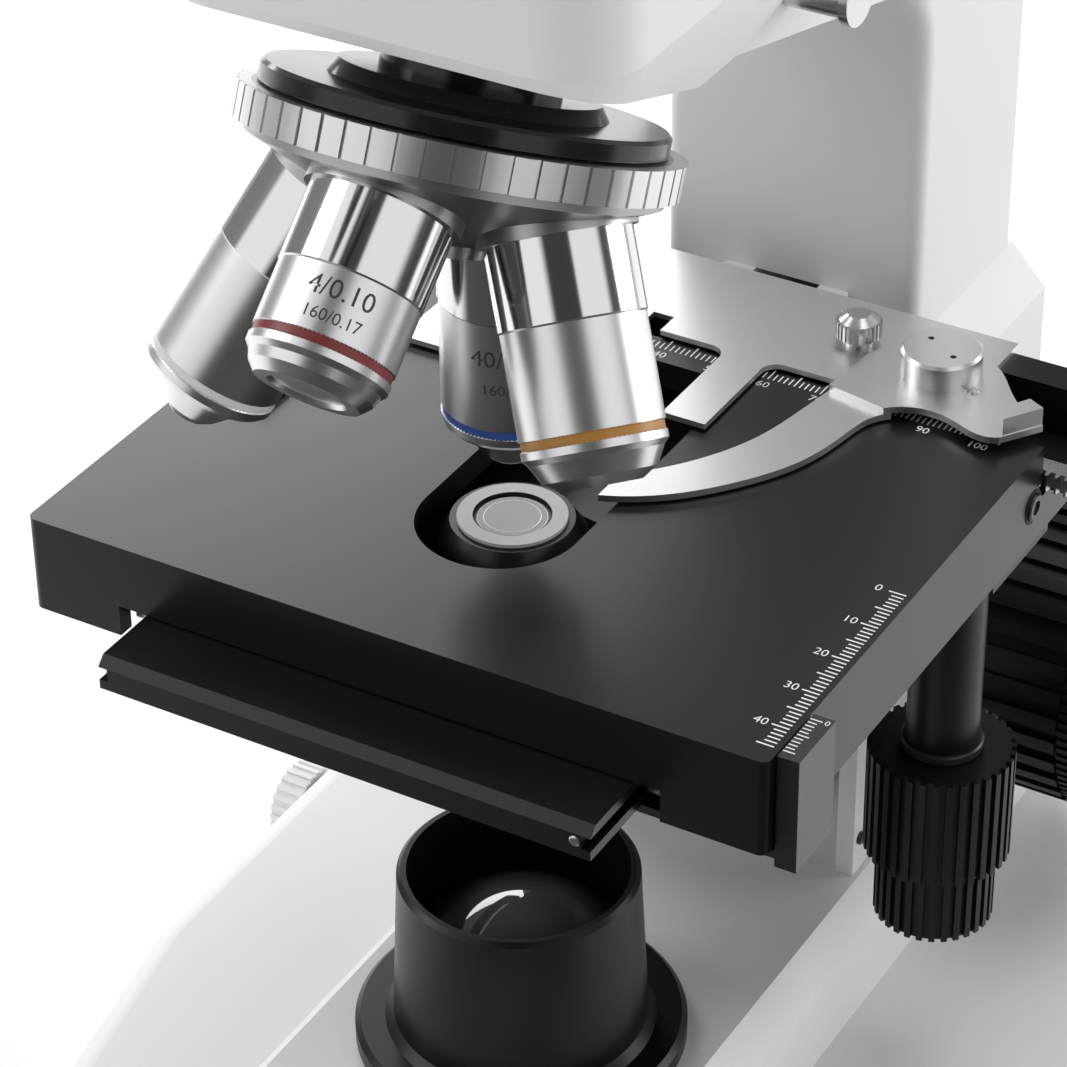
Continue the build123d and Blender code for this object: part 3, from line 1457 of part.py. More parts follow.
# Head: a body on a round seat, with a slanted face for the eyepiece tubes
face_plane = Plane(origin=face_centre, x_dir=(1, 0, 0), z_dir=swing_dir)
face_low = (face_y - 15 * sin(radians(tube_slope)), face_z - 15 * cos(radians(tube_slope)))
face_rise = (head_top - face_z) / cos(radians(tube_slope))
with BuildPart() as head_housing:
    with BuildSketch(Plane.YZ.offset(-head_half)):
        filled([
            (face_low[0] + 16, seat_top + head_collar),
            (head_back - 8, seat_top + head_collar),
            (head_back, seat_top + head_collar + 8),
            (head_back, head_top),
            (face_y + face_rise * sin(radians(tube_slope)), head_top),
            face_low,
        ])
    extrude(amount=2 * head_half)
    fillet(edges().filter_by(Axis.Z).group_by(Axis.Y)[-1], radius=8)
    fillet(faces().filter_by(GeomType.PLANE).sort_by(Axis.Z)[-1].edges().sort_by(Axis.Y)[1:], radius=4)
    turned(Vector(0, 0, 0), Vector(0, 0, 1), [
        (0, seat_top - head_seat_depth + seat_gap),
        (head_seat_radius - shaft_gap, seat_top - head_seat_depth + seat_gap),
        (head_seat_radius - shaft_gap, seat_top),
        (head_collar_radius, seat_top),
        (head_collar_radius, seat_top + head_collar + 2),
        (0, seat_top + head_collar + 2),
    ])
    with BuildSketch(face_plane):
        Circle(swing_post_radius)
    extrude(amount=2 * eye_layer + 2 * seat_gap)
    with BuildSketch(face_plane.offset(2 * eye_layer + 2 * seat_gap)):
        Circle(swing_post_radius + 5)
    extrude(amount=2.5)
    with BuildSketch(Plane.XY.offset(seat_top - head_seat_depth)):
        Circle(light_path)
    extrude(amount=30, mode=Mode.SUBTRACT)
    with BuildSketch(Plane.YZ.offset(head_half)):
        with Locations((rod_y, rod_z)):
            Circle(rod_radius + shaft_gap)
    extrude(amount=-rod_reach, mode=Mode.SUBTRACT)
keep("head_housing", head_housing)

for side, name, layer in ((-1, "left", 0), (1, "right", 1)):
    tube_x = side * eye_arm_reach * cos(radians(eye_arm_angle))
    tube_y = eye_arm_reach * sin(radians(eye_arm_angle))
    near = seat_gap + layer * (eye_layer + seat_gap / 2)
    tube_start = seat_gap + 2 * eye_layer
    with BuildPart() as eyepiece_arm:
        with BuildSketch(face_plane.offset(near)):
            Circle(eye_hub_radius)
            with Locations((tube_x, tube_y)):
                Circle(eye_arm_radius)
            with Locations((tube_x / 2, tube_y / 2)):
                with PolarLocations(0, 1, start_angle=degrees(asin(tube_y / eye_arm_reach)) * side):
                    Rectangle(eye_arm_reach, 2 * eye_arm_radius)
        extrude(amount=eye_layer - seat_gap / 2)
        with BuildSketch(face_plane.offset(seat_gap)):
            with Locations((tube_x, tube_y)):
                Circle(eye_arm_radius)
            Circle(eye_hub_radius + seat_gap + 0.3, mode=Mode.SUBTRACT)
        extrude(amount=2 * eye_layer)
        with BuildSketch(face_plane.offset(tube_start)):
            with Locations((tube_x, tube_y)):
                Circle(eye_tube_radius)
        extrude(amount=eye_tube_length)
        with BuildSketch(face_plane.offset(tube_start + eye_tube_length)):
            with Locations((tube_x, tube_y)):
                Circle(eyepiece_plug_radius + shaft_gap)
        extrude(amount=-eyepiece_plug_length - 4, mode=Mode.SUBTRACT)
        with BuildSketch(face_plane.offset(near)):
            Circle(swing_post_radius + shaft_gap)
        extrude(amount=eye_layer, mode=Mode.SUBTRACT)
    keep("eyepiece_arm_" + name, eyepiece_arm)

    tube_foot = face_plane.from_local_coords(Vector(tube_x, tube_y, tube_start + eye_tube_length))
    start = 0.0
    if side < 0:
        with BuildPart() as diopter_ring:
            ring_foot = tube_foot + swing_dir * seat_gap
            with BuildSketch(Plane(origin=ring_foot, x_dir=(1, 0, 0), z_dir=swing_dir)):
                ribbed_disc(eyepiece_radius - 0.4, 48, 0.5)
                Circle(eyepiece_plug_radius + shaft_gap, mode=Mode.SUBTRACT)
            extrude(amount=diopter_length - 2 * seat_gap)
        keep("diopter_ring", diopter_ring)
        start = diopter_length
    with BuildPart() as eyepiece:
        turned(tube_foot, swing_dir, [
            (0, -eyepiece_plug_length),
            (eyepiece_plug_radius, -eyepiece_plug_length),
            (eyepiece_plug_radius, start),
            (eyepiece_radius, start),
            (eyepiece_radius, eyepiece_length - 12),
            (eyepiece_radius - 2, eyepiece_length - 9),
            (eyepiece_radius - 1, eyepiece_length - 3),
            (eyepiece_radius - 1, eyepiece_length),
            (eyepiece_radius - 3, eyepiece_length),
            (eyepiece_eye_lens + 0.5, eyepiece_length - 4),
            (0, eyepiece_length - 4),
        ])
    keep("eyepiece_" + name, eyepiece)

with BuildPart() as photo_tube:
    turned(Vector(0, photo_tube_y, 0), Vector(0, 0, 1), [
        (photo_tube_bore, head_top),
        (photo_tube_radius + 2, head_top),
        (photo_tube_radius + 2, head_top + 5),
        (photo_tube_radius, head_top + 6.5),
        (photo_tube_radius, photo_tube_top - 0.6),
        (photo_tube_radius - 0.6, photo_tube_top),
        (photo_tube_bore, photo_tube_top),
    ])
keep("photo_tube", photo_tube)

with BuildPart() as photo_tube_cap:
    turned(Vector(0, photo_tube_y, 0), Vector(0, 0, 1), [
        (0, photo_tube_top - 6),
        (photo_tube_bore - shaft_gap, photo_tube_top - 6),
        (photo_tube_bore - shaft_gap, photo_tube_top),
        (photo_tube_radius + 1, photo_tube_top),
        (photo_tube_radius + 1, photo_tube_top + photo_cap_thick - 1),
        (photo_tube_radius, photo_tube_top + photo_cap_thick),
        (0, photo_tube_top + photo_cap_thick),
    ])
keep("photo_tube_cap", photo_tube_cap)

with BuildPart() as light_path_rod:
    with BuildSketch(Plane.YZ.offset(head_half - rod_reach + seat_gap)):
        with Locations((rod_y, rod_z)):
            Circle(rod_radius)
    extrude(amount=rod_reach + 10)
    with BuildSketch(Plane.YZ.offset(head_half + 8)):
        with Locations((rod_y, rod_z)):
            Circle(5.5)
    extrude(amount=9)
    fillet(edges().group_by(Axis.X)[-1], radius=2)
keep("light_path_rod", light_path_rod)

for label, part in pieces.items():
    export_step(part, f"parts/{label}.step")
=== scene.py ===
from math import cos, pi, radians, sin

import bpy
from mathutils import Matrix, Vector


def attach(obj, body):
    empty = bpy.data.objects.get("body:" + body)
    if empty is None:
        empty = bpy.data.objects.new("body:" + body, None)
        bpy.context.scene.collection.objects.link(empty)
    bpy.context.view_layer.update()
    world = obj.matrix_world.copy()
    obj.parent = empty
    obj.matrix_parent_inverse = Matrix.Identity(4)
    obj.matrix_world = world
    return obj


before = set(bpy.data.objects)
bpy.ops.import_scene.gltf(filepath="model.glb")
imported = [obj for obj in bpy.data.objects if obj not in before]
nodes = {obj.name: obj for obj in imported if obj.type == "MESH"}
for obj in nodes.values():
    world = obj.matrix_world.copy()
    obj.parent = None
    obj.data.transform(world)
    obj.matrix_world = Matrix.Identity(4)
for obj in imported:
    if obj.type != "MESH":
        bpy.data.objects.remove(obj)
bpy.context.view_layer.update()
MM = 0.001

# Places on the instrument, in millimetres; the apex is where the four objective axes meet
STAGE_TOP = 160.0
APEX = Vector((0.0, 0.0, 264.0))
TILT = radians(24.0)
TURRET_AXIS = Vector((0.0, -sin(TILT), -cos(TILT)))
DRIVE_X, DRIVE_Y = 54.7, 53.3
BARREL_RADIUS = 11.1
PRINT_RISE = 0.03

# Objectives: turn round the turret, distances from the apex of the end of the polished barrel, of the
# coloured band and of the two lines of print, and the direction that the print faces, if not the camera
OBJECTIVES = {
    "objective_4x": dict(turn=180, chrome=59.6, band=70.6, colour=(0.22, 0.035, 0.035), power="4/0.10",
                         power_reach=63.2, tube_reach=67.2, facing=None),
    "objective_10x": dict(turn=90, chrome=60.0, band=77.2, colour=(0.42, 0.20, 0.04), power="10/0.25",
                          power_reach=66.0, tube_reach=70.6, facing=(0, 1, 0.4)),
    "objective_40x": dict(turn=0, chrome=63.1, band=83.3, colour=(0.03, 0.09, 0.36), power="40/0.65",
                          power_reach=69.5, tube_reach=75.0, facing=None),
    "objective_100x": dict(turn=270, chrome=63.1, band=84.4, colour=(0.72, 0.72, 0.72), power="100/1.25",
                           power_reach=69.5, tube_reach=75.0, facing=(-1, 0.4, 0.3)),
}


def objective_axis(turn):
    """Direction of an objective, turned round the turret from the working place."""
    back = Vector((0.0, cos(TILT), -sin(TILT)))
    side = Vector((1.0, 0.0, 0.0))
    angle = radians(turn)
    return TURRET_AXIS * cos(TILT) + (back * cos(angle) + side * sin(angle)) * sin(TILT)


# Shader node groups
def node(tree, kind, **settings):
    """Adds a node and sets its properties, and its plain socket values as in_ and the socket's number."""
    made = tree.nodes.new(kind)
    for key, value in settings.items():
        if key.startswith("in_"):
            made.inputs[int(key[3:])].default_value = value
        else:
            setattr(made, key, value)
    return made


def surface_group(name, own_inputs, roughness, variation):
    """Shader group that gives a height and a roughness, with its own inputs before the common two."""
    group = bpy.data.node_groups.new(name, "ShaderNodeTree")
    common = [("Roughness", "NodeSocketFloat", roughness), ("Variation", "NodeSocketFloat", variation)]
    for label, kind, value in own_inputs + common:
        socket = group.interface.new_socket(label, in_out="INPUT", socket_type=kind)
        socket.default_value = value
    for label in ("Height", "Roughness"):
        group.interface.new_socket(label, in_out="OUTPUT", socket_type="NodeSocketFloat")
    source = group.nodes.new("NodeGroupInput")
    sink = group.nodes.new("NodeGroupOutput")
    return group, source, sink


def vary_roughness(group, noise, source, sink):
    """Lets a noise shift the roughness to both sides of the value given."""
    centre = node(group, "ShaderNodeMath", operation="SUBTRACT", in_1=0.5)
    scaled = node(group, "ShaderNodeMath", operation="MULTIPLY")
    total = node(group, "ShaderNodeMath", operation="ADD")
    link = group.links.new
    link(noise.outputs["Fac"], centre.inputs[0])
    link(centre.outputs[0], scaled.inputs[0])
    link(source.outputs["Variation"], scaled.inputs[1])
    link(source.outputs["Roughness"], total.inputs[0])
    link(scaled.outputs[0], total.inputs[1])
    link(total.outputs[0], sink.inputs["Roughness"])


def build_fine_grain():
    """Fine even grain of a blasted or moulded surface, with wide soft clouds in its roughness."""
    group, source, sink = surface_group("fine_grain", [("Scale", "NodeSocketFloat", 1500.0)], 0.4, 0.06)
    place = node(group, "ShaderNodeTexCoord")
    grain = node(group, "ShaderNodeTexNoise", in_3=3.0, in_4=0.6)
    clouds = node(group, "ShaderNodeTexNoise", in_2=38.0, in_3=3.0, in_4=0.55)
    link = group.links.new
    link(place.outputs["Object"], grain.inputs["Vector"])
    link(place.outputs["Object"], clouds.inputs["Vector"])
    link(source.outputs["Scale"], grain.inputs["Scale"])
    link(grain.outputs["Fac"], sink.inputs["Height"])
    vary_roughness(group, clouds, source, sink)
    return group


def build_turned_lines():
    """Fine tool lines round an axis, as a lathe leaves them."""
    own = [("Axis", "NodeSocketVector", (0.0, 0.0, 1.0)), ("Scale", "NodeSocketFloat", 4000.0)]
    group, source, sink = surface_group("turned_lines", own, 0.25, 0.1)
    place = node(group, "ShaderNodeTexCoord")
    along = node(group, "ShaderNodeVectorMath", operation="DOT_PRODUCT")
    lines = node(group, "ShaderNodeTexNoise", noise_dimensions="1D", in_3=4.0, in_4=0.7)
    link = group.links.new
    link(place.outputs["Object"], along.inputs[0])
    link(source.outputs["Axis"], along.inputs[1])
    link(along.outputs["Value"], lines.inputs["W"])
    link(source.outputs["Scale"], lines.inputs["Scale"])
    link(lines.outputs["Fac"], sink.inputs["Height"])
    vary_roughness(group, lines, source, sink)
    return group


def build_brushed_grain():
    """Long scratches of a brushed sheet, drawn out along the direction that is stretched least."""
    own = [("Stretch", "NodeSocketVector", (1.0, 40.0, 40.0))]
    group, source, sink = surface_group("brushed_grain", own, 0.3, 0.12)
    place = node(group, "ShaderNodeTexCoord")
    drawn = node(group, "ShaderNodeVectorMath", operation="MULTIPLY")
    lines = node(group, "ShaderNodeTexNoise", in_2=60.0, in_3=4.0, in_4=0.65)
    link = group.links.new
    link(place.outputs["Object"], drawn.inputs[0])
    link(source.outputs["Stretch"], drawn.inputs[1])
    link(drawn.outputs["Vector"], lines.inputs["Vector"])
    link(lines.outputs["Fac"], sink.inputs["Height"])
    vary_roughness(group, lines, source, sink)
    return group


FINE_GRAIN = build_fine_grain()
TURNED_LINES = build_turned_lines()
BRUSHED_GRAIN = build_brushed_grain()


# Materials; a bump's depth is in metres
def finish(name, colour, texture=None, values=None, bump=0.0, depth=0.00001, metallic=0.0, roughness=0.4,
           specular=0.5, coat=0.0, coat_roughness=0.1, transmission=0.0, ior=1.45):
    """Material with a principled shader and, where given, one of the shared groups for its surface."""
    made = bpy.data.materials.new(name)
    made.use_nodes = True
    tree = made.node_tree
    shader = tree.nodes["Principled BSDF"]
    shader.inputs["Base Color"].default_value = (*colour, 1.0)
    shader.inputs["Metallic"].default_value = metallic
    shader.inputs["Roughness"].default_value = roughness
    shader.inputs["Specular IOR Level"].default_value = specular
    shader.inputs["Coat Weight"].default_value = coat
    shader.inputs["Coat Roughness"].default_value = coat_roughness
    shader.inputs["Transmission Weight"].default_value = transmission
    shader.inputs["IOR"].default_value = ior
    if texture:
        surface = node(tree, "ShaderNodeGroup", node_tree=texture)
        for key, value in values.items():
            surface.inputs[key].default_value = value
        tree.links.new(surface.outputs["Roughness"], shader.inputs["Roughness"])
        if bump:
            relief = node(tree, "ShaderNodeBump")
            relief.inputs["Strength"].default_value = bump
            relief.inputs["Distance"].default_value = depth
            tree.links.new(surface.outputs["Height"], relief.inputs["Height"])
            tree.links.new(relief.outputs["Normal"], shader.inputs["Normal"])
    return made


def grained(name, colour, scale, roughness, variation, bump=0.0, **others):
    """Material with the fine even grain."""
    values = {"Scale": scale, "Roughness": roughness, "Variation": variation}
    return finish(name, colour, FINE_GRAIN, values, bump, **others)


def lathed(name, colour, axis, scale, roughness, variation, bump):
    """Metal with fine tool lines across an axis."""
    values = {"Axis": axis, "Scale": scale, "Roughness": roughness, "Variation": variation}
    return finish(name, colour, TURNED_LINES, values, bump, depth=0.000005, metallic=1.0)


def brushed(name, colour, stretch, roughness, variation, bump):
    """Metal with long fine scratches."""
    values = {"Stretch": stretch, "Roughness": roughness, "Variation": variation}
    return finish(name, colour, BRUSHED_GRAIN, values, bump, metallic=1.0)


WHITE_ENAMEL = grained("white_enamel", (0.76, 0.76, 0.77), 420, 0.50, 0.05, 0.10, depth=0.00003, coat=0.08,
                       coat_roughness=0.3)
STAGE_BLACK = grained("stage_black", (0.006, 0.006, 0.0065), 2600, 0.30, 0.05, 0.22)
BRACKET_BLACK = grained("bracket_black", (0.008, 0.008, 0.0085), 2600, 0.30, 0.05, 0.15, specular=0.95)
BLACK_PAINT = grained("black_paint", (0.005, 0.005, 0.0055), 900, 0.33, 0.06, 0.08, specular=0.38)
KNOB_BLACK = grained("knob_black", (0.006, 0.006, 0.006), 1200, 0.40, 0.08, 0.12, specular=0.3)
BLACK_GLOSS = grained("disc_black", (0.012, 0.012, 0.013), 500, 0.16, 0.06, 0.05)
SCREW_BLACK = grained("screw_black", (0.02, 0.02, 0.021), 1500, 0.3, 0.05)
# Very dark and matte: painted shade for the counterbore round the wall screw
COUNTERBORE_SHADE = grained("counterbore_shade", (0.004, 0.004, 0.004), 1500, 0.6, 0.05)
LAMP_DARK = grained("lamp_dark", (0.01, 0.012, 0.016), 300, 0.3, 0.1)
RUBBER = grained("rubber", (0.018, 0.018, 0.018), 700, 0.7, 0.1, 0.3, depth=0.00003)
MOULDED_WHITE = grained("moulded_white", (0.80, 0.80, 0.80), 1200, 0.45, 0.06, 0.1)
MARK_WHITE = grained("mark_white", (0.82, 0.82, 0.82), 2000, 0.5, 0.05)
MARK_BLACK = grained("mark_black", (0.05, 0.05, 0.055), 2000, 0.5, 0.05)
RING_GREY = grained("ring_grey", (0.60, 0.60, 0.61), 2600, 0.55, 0.06, 0.2, specular=0.2)
DRUM_SILVER = grained("drum_silver", (0.68, 0.68, 0.69), 3000, 0.30, 0.06, 0.06, metallic=1.0)
GRIP_SILVER = grained("grip_silver", (0.76, 0.76, 0.77), 1600, 0.30, 0.10, 0.08, metallic=1.0)
CONE_SILVER = grained("cone_silver", (0.45, 0.45, 0.46), 1600, 0.34, 0.08, 0.05, metallic=1.0)
HOLDER_SILVER = brushed("holder_silver", (0.72, 0.72, 0.73), (2, 90, 90), 0.36, 0.14, 0.08)
STEEL = brushed("steel", (0.55, 0.55, 0.56), (60, 60, 2), 0.28, 0.12, 0.06)
PLATE_STEEL = brushed("plate_steel", (0.42, 0.42, 0.43), (2, 60, 60), 0.42, 0.15, 0.1)
# Field lens: opaque dark bluish glass whose colour is raised as painted reflection, standing for the soft
# bluish glow in the lens's middle
FIELD_GLASS = finish("field_glass", (0.075, 0.079, 0.090), roughness=0.03, specular=0.75, coat=1.0,
                     coat_roughness=0.01)
BLUE_GLASS = finish("blue_glass", (0.45, 0.62, 0.95), roughness=0.02, transmission=1.0, ior=1.5)
TOP_GLASS = finish("top_glass", (0.42, 0.425, 0.43), roughness=0.30, specular=0.2)
# Near-white and coated: painted highlight for the glinting rims of the condenser's top lens
RIM_HIGHLIGHT_WHITE = finish("rim_highlight_white", (0.92, 0.92, 0.92), roughness=0.15, coat=0.6)


def barrel_finishes(label, axis, colour):
    """Polished, satin and painted finishes for one objective, with tool lines across its own axis."""
    chrome = lathed(label + "_chrome", (0.80, 0.80, 0.81), axis, 5000, 0.10, 0.05, 0.02)
    satin = lathed(label + "_satin", (0.82, 0.82, 0.83), axis, 6000, 0.30, 0.10, 0.05)
    band = grained(label + "_band", colour, 1500, 0.35, 0.05)
    return chrome, satin, band


def dress(name, *materials):
    """Gives a CAD piece its materials; the first one covers it."""
    piece = nodes[name]
    piece.data.materials.clear()
    for material in materials:
        piece.data.materials.append(material)
    for face in piece.data.polygons:
        face.material_index = 0
    return piece


FINISHES = {
    WHITE_ENAMEL: ("base_casting", "arm", "head_housing", "eyepiece_arm_left", "eyepiece_arm_right",
                   "photo_tube"),
    STAGE_BLACK: ("top_stage_plate", "lower_stage_plate", "x_rail", "stage_carriage", "condenser_carrier",
                  "iris_lever", "filter_holder"),
    BRACKET_BLACK: ("vernier_bracket",),
    BLACK_PAINT: ("field_lens_housing", "stage_control_sleeve", "eyepiece_left", "eyepiece_right"),
    BLACK_GLOSS: ("nosepiece_base",),
    KNOB_BLACK: ("coarse_knob_left", "coarse_knob_right", "fine_knob_left", "fine_knob_right",
                 "tension_ring", "y_knob", "x_knob", "condenser_knob", "power_switch", "power_inlet",
                 "photo_tube_cap", "diopter_ring", "light_path_rod"),
    MOULDED_WHITE: ("brightness_dial",),
    HOLDER_SILVER: ("slide_holder_plate", "finger_lever"),
    DRUM_SILVER: ("pivot_drum", "head_lock_screw"),
    GRIP_SILVER: ("turret_grip_ring",),
    CONE_SILVER: ("turret",),
    STEEL: ("focus_rack", "y_rack", "x_rack", "stage_guide_rails", "coarse_shaft", "fine_shaft", "x_shaft",
            "holder_thumb_screws"),
    PLATE_STEEL: ("base_plate",),
    RUBBER: ("rubber_feet",),
    TOP_GLASS: ("condenser_lens",),
    FIELD_GLASS: ("field_lens",),
    BLUE_GLASS: ("filter_glass",),
    LAMP_DARK: ("lamp_module",),
}
for material, names in FINISHES.items():
    for name in names:
        dress(name, material)

# The condenser: black body with a bare grey ring round its top lens
RING_DEPTH, RING_RADIUS = 1.7, 9.3
condenser = dress("condenser_body", STAGE_BLACK, RING_GREY)
for face in condenser.data.polygons:
    middle = face.center / MM
    if middle.z > STAGE_TOP - RING_DEPTH and middle.xy.length < RING_RADIUS:
        face.material_index = 1

# Objectives: polished upper barrel, satin lower barrel, coloured band on the barrel's outer face
BAND_HALF_WIDTH, BAND_INNER_RADIUS, EDGE_ALLOWANCE = 0.7, 10.5, 0.05
for label, sizes in OBJECTIVES.items():
    axis = objective_axis(sizes["turn"])
    chrome, satin, band = barrel_finishes(label, axis, sizes["colour"])
    piece = dress(label, chrome, satin, band)
    for face in piece.data.polygons:
        middle = face.center / MM - APEX
        reach = middle.dot(axis)
        radius = (middle - axis * reach).length
        if abs(reach - sizes["band"]) < BAND_HALF_WIDTH and radius > BAND_INNER_RADIUS:
            face.material_index = 2
        elif reach > sizes["chrome"] - EDGE_ALLOWANCE:
            face.material_index = 1
    if label + "_nose" in nodes:
        dress(label + "_nose", SCREW_BLACK if label == "objective_40x" else satin)


# Added pieces
def add_mesh(name, vertices, faces, material, body, smooth=False):
    """New piece from points in millimetres; it moves with the given body."""
    mesh = bpy.data.meshes.new(name)
    mesh.from_pydata([tuple(Vector(v) * MM) for v in vertices], [], faces)
    mesh.update()
    piece = bpy.data.objects.new(name, mesh)
    bpy.context.collection.objects.link(piece)
    mesh.materials.append(material)
    for face in mesh.polygons:
        face.use_smooth = smooth
    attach(piece, body)
    return piece


SIZE_FOR_HEIGHT = 1.4   # Blender's text size, for a digit of height 1


def glyphs(text, height):
    """Outline mesh of a number, centred, in millimetres on its own flat plane."""
    curve = bpy.data.curves.new("glyphs", "FONT")
    curve.body = text
    curve.size = height * SIZE_FOR_HEIGHT
    curve.align_x = "CENTER"
    curve.align_y = "CENTER"
    curve.resolution_u = 3
    holder = bpy.data.objects.new("glyphs", curve)
    bpy.context.collection.objects.link(holder)
    bpy.context.view_layer.update()
    mesh = bpy.data.meshes.new_from_object(holder.evaluated_get(bpy.context.evaluated_depsgraph_get()))
    points = [Vector((v.co.x, v.co.y)) for v in mesh.vertices]
    faces = [tuple(p.vertices) for p in mesh.polygons]
    bpy.data.objects.remove(holder)
    bpy.data.meshes.remove(mesh)
    bpy.data.curves.remove(curve)
    return points, faces


def stage_marks(name, bars, numbers, body):
    """White print on the stage top: bars are boxes in X and Y, and numbers have a place and a height."""
    level = STAGE_TOP + PRINT_RISE
    vertices, faces = [], []
    for x0, x1, y0, y1 in bars:
        first = len(vertices)
        vertices += [(x0, y0, level), (x1, y0, level), (x1, y1, level), (x0, y1, level)]
        faces.append((first, first + 1, first + 2, first + 3))
    for text, x, y, height in numbers:
        points, shapes = glyphs(text, height)
        first = len(vertices)
        vertices += [(x + p.x, y + p.y, level) for p in points]
        faces += [tuple(first + i for i in shape) for shape in shapes]
    return add_mesh(name, vertices, faces, MARK_WHITE, body)


# The stage's two scales have a bar for each millimetre, a long one for each five, and a number for each ten
DIGIT = 1.75

# Scale along the right edge, read to and fro
EDGE_LINE, EDGE_ZERO, EDGE_NUMBERS = 66.4, 8.7, 61.6
EDGE_LONG, EDGE_SHORT, EDGE_HALF = 3.0, 2.1, 0.16
bars = []
for k in range(46):
    y = EDGE_ZERO - k
    length = EDGE_LONG if k % 5 == 0 else EDGE_SHORT
    bars.append((EDGE_LINE - length, EDGE_LINE, y - EDGE_HALF, y + EDGE_HALF))
numbers = [(str(k), EDGE_NUMBERS, EDGE_ZERO - k, DIGIT) for k in range(0, 41, 10)]
stage_marks("edge_scale", bars, numbers, "table")

# Scale along the back, read from side to side
BACK_LINE, BACK_ZERO, BACK_NUMBERS = 55.8, -42.4, 53.9
BACK_LONG, BACK_SHORT, BACK_HALF = 3.1, 2.0, 0.14
bars = []
for k in range(104):
    x = BACK_ZERO + k
    length = BACK_LONG if k % 5 == 0 else BACK_SHORT
    bars.append((x - BACK_HALF, x + BACK_HALF, BACK_LINE, BACK_LINE + length))
numbers = [(str(k), BACK_ZERO + k, BACK_NUMBERS, DIGIT) for k in range(0, 101, 10)]
stage_marks("back_scale", bars, numbers, "table")

# Vernier on the bracket, with a bar for each nine tenths of a millimetre
VERNIER_LINE, VERNIER_ZERO, VERNIER_STEP, VERNIER_NUMBER, VERNIER_DIGIT = 67.9, -27.3, 0.9, 70.7, 1.2
VERNIER_LONG, VERNIER_SHORT, VERNIER_HALF = 2.0, 1.5, 0.13
bars = []
for k in range(11):
    y = VERNIER_ZERO - VERNIER_STEP * k
    length = VERNIER_LONG if k % 5 == 0 else VERNIER_SHORT
    bars.append((VERNIER_LINE, VERNIER_LINE + length, y - VERNIER_HALF, y + VERNIER_HALF))
stage_marks("edge_vernier", bars, [("0", VERNIER_NUMBER, VERNIER_ZERO, VERNIER_DIGIT)], "carriage")


def barrel_text(name, text, label, reach, height, facing):
    """Number printed round an objective's barrel, upright as seen with the tip down."""
    axis = objective_axis(OBJECTIVES[label]["turn"])
    out = (facing - axis * facing.dot(axis)).normalized()
    across = (-axis).cross(out)
    radius = BARREL_RADIUS + PRINT_RISE
    points, faces = glyphs(text, height)
    vertices = []
    for p in points:
        angle = p.x / radius
        direction = out * cos(angle) + across * sin(angle)
        vertices.append(APEX + axis * (reach - p.y) + direction * radius)
    return add_mesh(name, vertices, faces, MARK_BLACK, "turret")


def turned_piece(name, profile, base, direction, material, body, sides=32, ring=False, smooth=False):
    """Piece turned round a direction: its profile is radius and distance pairs from the base.

    A ring has a hole, and its profile closes on itself.
    """
    along = Vector(direction).normalized()
    side = along.orthogonal().normalized()
    across = along.cross(side)
    vertices, faces = [], []
    for radius, reach in profile:
        for k in range(sides):
            angle = 2 * pi * k / sides
            spoke = side * cos(angle) + across * sin(angle)
            vertices.append(Vector(base) + along * reach + spoke * radius)
    count = len(profile)
    for row in range(count if ring else count - 1):
        low, high = row * sides, (row + 1) % count * sides
        for k in range(sides):
            after = (k + 1) % sides
            faces.append((low + k, low + after, high + after, high + k))
    if not ring:
        faces.append(tuple(reversed(range(sides))))
        faces.append(tuple(range((count - 1) * sides, count * sides)))
    return add_mesh(name, vertices, faces, material, body, smooth=smooth)


# Directions that the screws and rings face
RIGHT, FRONT, UP, DOWN = (1, 0, 0), (0, -1, 0), (0, 0, 1), (0, 0, -1)

# Socket screw in the right wall of the table; a flat very dark disc round its head, on the wall's face, is
# painted shade that stands for its counterbore
WALL_SCREW = (67.5, 55.8, 150.0)
turned_piece("wall_screw_counterbore_shade", [(3.15, 0.0), (3.15, 0.12)], WALL_SCREW, RIGHT, COUNTERBORE_SHADE, "table")
turned_piece("wall_screw_head", [(2.5, 0.0), (2.5, 0.45), (2.2, 0.7), (1.3, 0.7), (1.3, 0.3)], WALL_SCREW,
             RIGHT, SCREW_BLACK, "table")

# Collar where the sleeve of the stage drive ends above the upper knob
COLLAR_FOOT = 98.4
turned_piece("sleeve_collar", [(6.5, 0.0), (7.3, 0.0), (7.3, 1.2), (7.0, 1.5), (6.5, 1.5)],
             (DRIVE_X, DRIVE_Y, COLLAR_FOOT), UP, SCREW_BLACK, "table", sides=48, ring=True)

# Bright screw beside the front end of the slide groove, and two screw heads under the lower plate
GROOVE_SCREW = (42.3, -53.8, 145.1)
PLATE_UNDERSIDE = 142.2
PLATE_SCREWS = ((1.5, -49.5), (25.5, -50.5))
turned_piece("groove_pin", [(0.95, -0.3), (0.95, 0.15), (0.7, 0.35)], GROOVE_SCREW, FRONT, STEEL,
             "carriage", sides=24)
for number, (x, y) in enumerate(PLATE_SCREWS):
    turned_piece("plate_screw_%d" % number, [(1.6, 0.0), (1.6, 0.7), (1.2, 1.1), (0.6, 1.1)],
                 (x, y, PLATE_UNDERSIDE), DOWN, STEEL, "carriage", sides=24)

# Dark screw on the outer face of the arm's right cheek
CHEEK_SCREW = (32.5, 69.0, 57.5)
turned_piece("cheek_screw", [(1.3, 0.0), (1.3, 0.5), (1.0, 0.8), (0.5, 0.8), (0.5, 0.3)], CHEEK_SCREW, RIGHT,
             SCREW_BLACK, "frame", sides=24)
